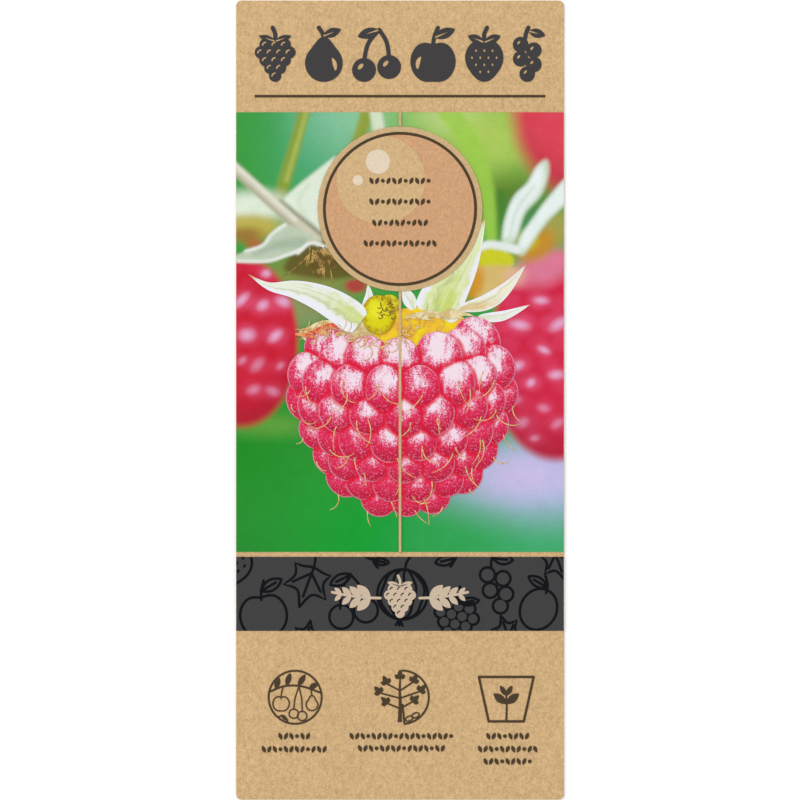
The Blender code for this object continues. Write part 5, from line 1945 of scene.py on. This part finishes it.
def pear() -> Fruit:
    """Draw a pear with a slim neck, a bent stalk and a leaf.

    Returns:
        Its drawing.
    """
    fruit = Fruit()
    fruit.bodies.append(polar_outline(-0.17, lambda a: 0.33 + 0.13 * bump(a, 0.0, 0.42)))
    fruit.add_leaf((-0.02, 0.30), (0.30, 0.42), 0.08)
    fruit.add_stalk((0.0, 0.22), (-0.02, 0.34), (-0.09, 0.45))
    fruit.marks.append(shine((0.20, -0.30), 85, 0.24, 42))
    return fruit


def plum() -> Fruit:
    """Draw a plum with its crease, a short stalk and a leaf.

    Returns:
        Its drawing.
    """
    fruit = Fruit()
    fruit.bodies.append(ellipse((0.0, -0.14), 0.31, 0.36, 40, -12.0))
    fruit.add_leaf((0.05, 0.26), (-0.30, 0.36), 0.08)
    fruit.add_stalk((0.06, 0.16), (0.05, 0.30), (-0.02, 0.44))
    fruit.marks.append(shine((-0.02, -0.36), 62, 0.36, 52))
    return fruit


def cherries() -> Fruit:
    """Draw two cherries on long stalks that meet under a leaf.

    Returns:
        Its drawing.
    """
    fruit = Fruit()
    for place, points in (
        ((-0.21, -0.27), [(-0.21, -0.13), (-0.14, 0.18), (0.05, 0.42)]),
        ((0.22, -0.22), [(0.22, -0.08), (0.18, 0.20), (0.05, 0.42)]),
    ):
        fruit.bodies.append(disc(place, 0.205))
        fruit.lines.append(curve_path(points, 6))
        fruit.marks.append(ellipse((place[0] - 0.06, place[1] + 0.06), 0.035, 0.065, 12, -40.0))
    fruit.add_leaf((0.05, 0.42), (-0.32, 0.30), 0.09)
    return fruit


def strawberry() -> Fruit:
    """Draw a strawberry with seeds and a crown of leaves.

    Returns:
        Its drawing.
    """
    fruit = Fruit()
    fruit.bodies.append(polar_outline(-0.08, lambda a: 0.34 + 0.09 * bump(a, pi, 0.55)))
    fruit.add_stalk((0.0, 0.25), (0.0, 0.34), (0.05, 0.45))
    fruit.add_crown(25.0, (0.32, 0.20), 0.075)
    for x, y in staggered((3, 4, 3, 2), 0.145, 0.07, 0.125):
        fruit.marks.append(leaf_outline((x, y), (x, y - 0.055), 0.017, 6))
        fruit.inner.append([(x, y), (x, y - 0.02)])
    return fruit


def raspberry() -> Fruit:
    """Draw a raspberry of round cells with a crown of leaves.

    Returns:
        Its drawing.
    """
    fruit = Fruit()
    fruit.add_stalk((0.0, 0.24), (0.0, 0.34), (-0.05, 0.46))
    for x, y in staggered((3, 4, 3, 2, 1), 0.1875, 0.12, 0.1525):
        fruit.cells.append(disc((x, y), 0.125, 20))
        fruit.marks.append(blade(bent_path((x - 0.062, y - 0.02), 100, 0.12, -120, 8), lambda t: 0.016))
    fruit.add_crown(20.0, (0.34, 0.22), 0.065)
    return fruit


def currants() -> Fruit:
    """Draw a hanging bunch of currants on one strand.

    Returns:
        Its drawing.
    """
    fruit = Fruit()
    fruit.lines.append(curve_path([(0.02, 0.46), (-0.02, 0.36), (-0.04, 0.26)], 6))
    fruit.add_leaf((0.02, 0.40), (0.32, 0.32), 0.08)
    for side, y in ((-1, 0.16), (1, 0.06), (-1, -0.09), (1, -0.19), (0, -0.36)):
        fruit.cells.append(disc((side * 0.116, y), 0.138, 28))
        fruit.marks.append(ellipse((side * 0.116 - 0.035, y + 0.035), 0.02, 0.04, 10, -40.0))
    return fruit


def gooseberry() -> Fruit:
    """Draw a gooseberry with wavy stripes, a stalk and a dry tuft.

    Returns:
        Its drawing.
    """
    fruit = Fruit()
    middle_y, across, along = -0.05, 0.37, 0.37
    fruit.bodies.append(ellipse((0.0, middle_y), across, along, 44))
    for longitude in (-58.0, -30.0, 0.0, 30.0, 58.0):
        stripe = []
        for step in range(19):
            latitude = radians(82.0 - 9.1 * step)
            wave = 0.016 * sin(5.0 * latitude) * cos(latitude)
            x = across * sin(radians(longitude)) * cos(latitude) + wave
            stripe.append((x, middle_y + along * sin(latitude)))
        fruit.inner.append(stripe)
    fruit.add_stalk((0.0, middle_y + along - 0.006), (0.01, 0.42), (0.06, 0.52))
    for side in (-1, 0, 1):
        foot = middle_y - along + 0.006
        fruit.lines.append([(side * 0.004, foot), (side * 0.05, foot - 0.096)])
    return fruit


def lobed_leaf() -> Fruit:
    """Draw a leaf with five pointed lobes, their veins and a stalk.

    Returns:
        Its drawing.
    """
    fruit = Fruit()
    lobes = ((0.0, 0.27), (60.0, 0.22), (-60.0, 0.22), (120.0, 0.15), (-120.0, 0.15))

    def reach(angle: float) -> float:
        """Reach of the leaf at an angle from its tip, in radians."""
        away = [abs((angle - radians(at) + pi) % (2.0 * pi) - pi) for at, _ in lobes]
        return 0.22 + sum(rise * exp(-near / 0.22) for near, (_, rise) in zip(away, lobes))

    fruit.bodies.append(polar_outline(0.0, reach, 36))
    for at, rise in lobes[:3]:
        heading = radians(at)
        length = 0.16 + 0.6 * rise
        fruit.inner.append([(0.0, -0.12), (-length * sin(heading), -0.02 + length * cos(heading))])
    fruit.add_stalk((0.0, -0.02), (0.0, -0.26), (0.06, -0.50))
    return fruit


@dataclass
class Header:
    """Row of bold fruits over a rule."""

    base: float = 67.5
    height: float = 12.5
    width: float = 62.1
    line: float = 0.9

    def spots(self, fruits: Sequence[Fruit]) -> list[Spot]:
        """Stand the fruits on one line at one height, with equal gaps.

        Args:
            fruits: The drawings.

        Returns:
            Where each goes.
        """
        boxes = [fruit.box() for fruit in fruits]
        sizes = [(self.height - self.line) / (top - bottom) for _, bottom, _, top in boxes]
        widths = [size * (right - left) for size, (left, _, right, _) in zip(sizes, boxes)]
        gap = (self.width - sum(widths)) / (len(fruits) - 1)
        spots = []
        x = -self.width / 2
        for size, width, (left, bottom, _, _) in zip(sizes, widths, boxes):
            spots.append(Spot((x - size * left, self.base + self.line / 2 - size * bottom), size))
            x += width + gap
        return spots

    def build(self) -> None:
        """Add the fruits and dress the rule."""
        makers = (raspberry, pear, cherries, apple, strawberry, currants)
        fruits = [maker() for maker in makers]
        for maker, fruit, spot in zip(makers, fruits, self.spots(fruits)):
            add_print("header_" + maker.__name__, fruit.solid(spot, self.line), Palette.INK, "ink")
        dress_node("header_rule", Palette.BROWN_INK.material())


class MarkRow:
    """Row of small slanted leaves with a dot here and there, as an ornament."""

    leaf_half_width: float = 0.41
    dot_radius: float = 0.42
    lean: float = 24.0

    def __init__(self, material: Material) -> None:
        """Build the tree that repeats the leaf along a line.

        Args:
            material: Finish of the row.
        """
        tree = Tree("mark_row")
        length, pitch, lean = (tree.size(name) for name in ("Row length", "Pitch", "Lean"))
        radius, depth = tree.size("Dot radius"), tree.size("Dot depth")
        every = tree.size("Dot every", "Int")
        gaps = tree.math("ROUND", tree.math("DIVIDE", length, pitch))
        start = tree.vector(X=tree.math("MULTIPLY", tree.math("MULTIPLY", gaps, pitch), -0.5))
        values = {"Count": tree.math("ADD", gaps, 1.0), "Start Location": start}
        values["Offset"] = tree.vector(X=pitch)
        line = tree.add("MeshLine", values).outputs["Mesh"]
        index = tree.add("InputIndex").outputs[0]
        side = tree.math("SUBTRACT", 1.0, tree.math("MULTIPLY", tree.math("MODULO", index, 2.0), 2.0))
        values = {"Vertices": 16, "Radius": radius, "Depth": depth}
        dot = tree.add("MeshCylinder", values).outputs["Mesh"]
        seat = tree.vector(Z=tree.math("MULTIPLY", depth, 0.5))
        seated = tree.add("Transform", {"Geometry": dot, "Translation": seat}).outputs[0]
        pair = tree.add("GeometryToInstance", {"Geometry": seated})
        tree.group.links.new(tree.geometry, pair.inputs["Geometry"])
        tree.group.links.new(seated, pair.inputs["Geometry"])
        phase = tree.math("MODULO", tree.math("ADD", index, 2.0), every)
        values = {"Points": line, "Instance": pair.outputs[0], "Pick Instance": True}
        values["Instance Index"] = tree.math("LESS_THAN", phase, 0.5)
        values["Rotation"] = tree.vector(Z=tree.math("MULTIPLY", side, lean))
        tree.finish(tree.add("InstanceOnPoints", values).outputs[0], material)
        self.tree = tree
        self.material = material

    def add(self, node: str, pitch: float, every: int) -> None:
        """Add one row in the place of a CAD node.

        Args:
            node: Name of the node.
            pitch: Distance between two marks.
            every: Marks from one dot to the next.
        """
        area = Area.of(node)
        half = area.length / 2
        depth = area.high - area.low
        outline = leaf_outline((0.0, -half), (0.0, half), self.leaf_half_width, 10)
        leaf = film_mesh(node + "_leaf", Layers([outline]), 0.0, depth)
        sizes = {
            "Row length": (area.width - pitch) * MM,
            "Pitch": pitch * MM,
            "Lean": radians(self.lean),
            "Dot radius": self.dot_radius * MM,
            "Dot depth": depth * MM,
            "Dot every": every,
        }
        mesh = self.tree.grow(node + "_marks", leaf, sizes)
        mesh.transform(Matrix.Translation(Vector((*area.middle, area.low)) * MM))
        add_piece(node + "_marks", mesh, self.material, "ink", node)


@dataclass
class Badge:
    """Round badge with its ring, glow, spots and four rows of marks."""

    steps: int = 128
    glow_place: Point = (-4.1, 47.0)
    glow_radius: float = 9.5
    mark_pitch: float = 1.22
    dot_every: int = 4

    def build(self) -> None:
        """Add the discs with round edges, the glow inside the ring, and the rows."""
        parts = (
            ("badge_disc", Palette.RIM, "kraft_print"),
            ("badge_face", Palette.FACE, "badge_print"),
            ("badge_spot_large", Palette.SPOT, "spot_print"),
            ("badge_spot_small", Palette.SPOT, "spot_print"),
        )
        for node, finish, slot in parts:
            area = Area.of(node)
            add_print(node, Layers([disc(area.middle, area.width / 2, self.steps)]), finish, slot)
        ring, face = Area.of("badge_ring"), Area.of("badge_face")
        limit = disc(face.middle, face.width / 2, self.steps)
        glow = Layers([disc(self.glow_place, self.glow_radius, 96)], limit=limit)
        add_print("badge_glow", glow, Palette.GLOW, "glow_print")
        outer = disc(ring.middle, ring.width / 2, self.steps)
        inner = disc(ring.middle, face.width / 2 + 0.02, self.steps)
        add_print("badge_ring", Layers([outer], [inner]), Palette.BROWN_INK, "ink")
        rows = MarkRow(Palette.BROWN_INK.material())
        for index in range(4):
            rows.add(f"badge_row_{index + 1}", self.mark_pitch, self.dot_every)


@dataclass
class Band:
    """Dark band with line drawings of fruit and a tan ornament in its middle."""

    line: float = 0.55
    motifs: tuple[tuple[Callable[[], Fruit], Spot], ...] = (
        (apple, Spot((-29.4, -2.9), 13.5, 8.0)),
        (lobed_leaf, Spot((-19.4, 3.0), 12.5, 160.0)),
        (cherries, Spot((-10.4, -1.2), 12.5, 8.0)),
        (gooseberry, Spot((0.6, 0.6), 14.5, -6.0)),
        (raspberry, Spot((12.2, -4.2), 12.5, -12.0)),
        (currants, Spot((20.6, 2.2), 13.5, 10.0)),
        (plum, Spot((30.0, -1.6), 12.5, -14.0)),
    )
    more_motifs: tuple[tuple[Callable[[], Fruit], Spot], ...] = (
        (strawberry, Spot((-35.4, 7.6), 12.0, -20.0)),
        (lobed_leaf, Spot((33.6, 7.4), 9.5, 200.0)),
        (apple, Spot((12.6, 10.6), 12.0, 170.0)),
        (plum, Spot((-5.6, 9.4), 9.0, 190.0)),
        (lobed_leaf, Spot((22.8, -8.2), 7.5, 20.0)),
        (lobed_leaf, Spot((-19.8, -9.4), 7.5, -10.0)),
    )
    name_size: float = 8.4
    sprig_length: float = 10.4
    sprig_drop: float = 0.9

    def sprig(self, foot: Point, direction: int, pairs: int) -> list[Outline]:
        """Draw a sprig of paired leaves.

        Args:
            foot: Point where it starts.
            direction: 1 to the right or -1 to the left.
            pairs: Number of its pairs of leaves.

        Returns:
            Its outlines.
        """
        path = bent_path((0.0, 0.0), 0.0, self.sprig_length, 14.0, pairs + 1)
        shapes = [stroke(path, self.line)]
        for index in range(1, pairs + 1):
            x, y = path[index]
            reach = self.sprig_length * (0.36 - 0.20 * index / pairs)
            for side in (1, -1):
                shapes.append(leaf_outline((x, y), (x + reach * 0.9, y + side * reach * 0.85), reach * 0.29))
        return [[(foot[0] + x * direction, foot[1] + y) for x, y in outline] for outline in shapes]

    def drawing(self, maker: Callable[[], Fruit], spot: Spot, band: Area) -> Layers:
        """Outlines of one motif inside the band, at a spot from its middle."""
        place = (spot.place[0], band.middle[1] + spot.place[1])
        return maker().outlined(Spot(place, spot.size, spot.turn), self.line, band.outline())

    def build(self) -> None:
        """Dress the band, and add its drawings and its ornament."""
        dress_node("name_band", Palette.BAND.material())
        band = Area.of("name_band")
        level = Area.of("band_apple")
        for maker, spot in self.motifs:
            drawing = self.drawing(maker, spot, band)
            add_print("band_" + maker.__name__, drawing, Palette.LINES, "band_lines", "lines")
        for index, (maker, spot) in enumerate(self.more_motifs):
            name = f"band_more_{index + 1}"
            mesh = film_mesh(name, self.drawing(maker, spot, band), level.low, level.high)
            add_piece(name, mesh, Palette.LINES.material(), "band_lines")
        berry = raspberry().solid(Spot(band.middle, self.name_size), self.line)
        add_print("name_berry", berry, Palette.TAN, "tan_print")
        for side, direction in (("left", -1), ("right", 1)):
            foot = (direction * self.name_size / 2, band.middle[1] - self.sprig_drop)
            add_print("name_sprig_" + side, Layers(self.sprig(foot, direction, 4)), Palette.TAN, "tan_print")


@dataclass
class Footer:
    """Three icons over their rows of marks."""

    line: float = 0.42
    fine_line: float = 0.30
    icon_y: float = -63.5
    ring_x: float = -22.4
    ring_radius: float = 5.87
    shrub_x: float = 0.0
    shrub_radius: float = 5.7
    shrub_lift: float = 0.35
    branch_line: float = 0.36
    pot_x: float = 22.7
    pot_drop: float = 0.4
    pot_top: float = 11.7
    pot_foot: float = 7.5
    pot_height: float = 9.5
    pot_line: float = 0.52
    mark_pitch: float = 1.18
    dot_every: int = 5

    def ring_icon(self) -> Layers:
        """Draw the ring round a branch with an apple, a pair of cherries and a pear.

        Returns:
            Its outlines.
        """
        spot = Spot((self.ring_x, self.icon_y), 1.0)
        branch = curve_path([(-5.6, 1.1), (-2.2, 2.4), (1.6, 2.3), (5.6, 0.9)], 8)
        over = [stroke(spot.put(branch), self.line)]
        leaf_ends = (
            ((-4.2, 1.7), (-3.4, 4.3)), ((-1.9, 2.4), (-1.0, 5.2)),
            ((0.6, 2.4), (2.2, 4.9)), ((3.0, 2.0), (4.9, 2.9)),
        )
        over += [spot.put(leaf_outline(base, tip, 0.62)) for base, tip in leaf_ends]
        body = dipped_round(-1.35, 1.75, 0.35, 0.2)
        over += closed_stroke(spot.put([(x - 3.0, y) for x, y in body]), self.fine_line)
        body = polar_outline(-1.6, lambda a: 1.25 + 0.75 * bump(a, 0.0, 0.42))
        over += closed_stroke(spot.put([(x + 3.6, y) for x, y in body]), self.fine_line)
        for place in ((-0.3, -3.5), (1.5, -4.0)):
            over += closed_stroke(spot.put(disc(place, 1.0, 20)), self.fine_line)
        for points in (
            [(-3.0, -0.3), (-2.9, 1.0), (-2.5, 2.2)],
            [(3.6, 0.3), (3.5, 1.0), (3.3, 1.8)],
            [(-0.3, -2.6), (0.0, -0.2), (0.8, 2.3)],
            [(1.5, -3.1), (1.4, -0.4), (0.8, 2.3)],
            [(-3.6, -4.2), (-2.4, -3.9), (-1.6, -5.2)],
        ):
            over.append(stroke(spot.put(curve_path(points, 6)), self.fine_line))
        over.append(spot.put(leaf_outline((-3.0, -4.0), (-1.4, -5.0), 0.35)))
        outer = disc(spot.place, self.ring_radius, 96)
        inner = disc(spot.place, self.ring_radius - self.line, 96)
        return Layers([outer], [inner], over)

    def shrub_icon(self) -> Layers:
        """Draw the leafy shrub in front of a half ring with two stones at its foot.

        Returns:
            Its outlines.
        """
        spot = Spot((self.shrub_x, self.icon_y), 1.0)
        trunk = curve_path([(-0.05, -5.3), (0.05, -1.5), (-0.05, 1.5), (0.05, 4.2)], 8)
        shapes = [spot.put(blade(trunk, lambda t: 0.44 - 0.28 * t + 0.25 * max(0.0, 0.12 - t)))]
        arc = [
            (0.45 + self.shrub_radius * cos(angle), self.shrub_radius * sin(angle))
            for angle in np.radians(np.linspace(90.0, -85.0, 48))
        ]
        shapes.append(stroke(spot.put(arc), self.line))
        shapes.append(stroke(spot.put([arc[-1], (0.55, -1.6)]), self.line))
        for place in ((1.95, -4.55), (3.30, -3.85)):
            shapes += closed_stroke(spot.put(ellipse(place, 0.82, 0.50, 24, 24.0)), self.fine_line)
        crowns = [((0.0, 4.0), 90.0)]
        branches = (
            ((0.0, -2.4), (2.7, -1.3), 45.0),
            ((0.0, -0.2), (4.2, 0.9), 42.0),
            ((0.0, 1.4), (2.8, 2.9), 25.0),
        )
        for side in (-1, 1):
            for foot, end, lean in branches:
                tip = (side * end[0], end[1] + (self.shrub_lift if side > 0 else 0.0))
                shapes.append(stroke(spot.put([foot, tip]), self.branch_line))
                crowns.append((tip, 90.0 - side * lean))
        for tip, heading in crowns:
            for lean, length in ((-55.0, 1.35), (0.0, 1.9), (55.0, 1.35)):
                angle = radians(heading + lean)
                end = (tip[0] + length * cos(angle), tip[1] + length * sin(angle))
                shapes.append(spot.put(leaf_outline(tip, end, 0.50)))
        return Layers(shapes)

    def pot_icon(self) -> Layers:
        """Draw the pot in outline with a sprout in it.

        Returns:
            Its outlines.
        """
        spot = Spot((self.pot_x, self.icon_y - self.pot_drop), 1.0)
        top, foot, rim = self.pot_top / 2, self.pot_foot / 2, self.pot_height / 2
        corners = [(-top, rim), (-foot, -rim), (foot, -rim), (top, rim)]
        sides = zip(corners, corners[1:] + corners[:1])
        shapes = [stroke(spot.put(list(side)), self.pot_line) for side in sides]
        shapes.append(stroke(spot.put(curve_path([(0.0, -rim), (0.1, -1.8), (0.0, 0.9)], 8)), self.line))
        for side in (-1, 1):
            shapes.append(spot.put(leaf_outline((0.05, -1.0), (side * 2.7, 1.2), 0.85)))
            shapes.append(spot.put(leaf_outline((0.0, 0.7), (side * 1.3, 2.9), 0.55)))
        return Layers(shapes)

    def build(self) -> None:
        """Add the icons and the rows."""
        rows = MarkRow(Palette.BROWN_INK.material())
        for column, count in (("left", 2), ("middle", 2), ("right", 3)):
            for index in range(count):
                rows.add(f"caption_{column}_{index + 1}", self.mark_pitch, self.dot_every)
        icons = {"icon_ring": self.ring_icon(), "icon_shrub": self.shrub_icon(), "icon_pot": self.pot_icon()}
        for node, layers in icons.items():
            add_print(node, layers, Palette.BROWN_INK, "ink")


def main() -> None:
    """Build the label's pieces in order."""
    logging.basicConfig(level=logging.INFO, format="%(name)s: %(message)s")
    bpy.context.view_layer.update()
    parts = (Studio, Card, Header, Background, RipeBerry, Calyx, CentreLine, Badge, Band, Footer)
    for part in parts:
        part().build()


if __name__ == "__main__":
    main()
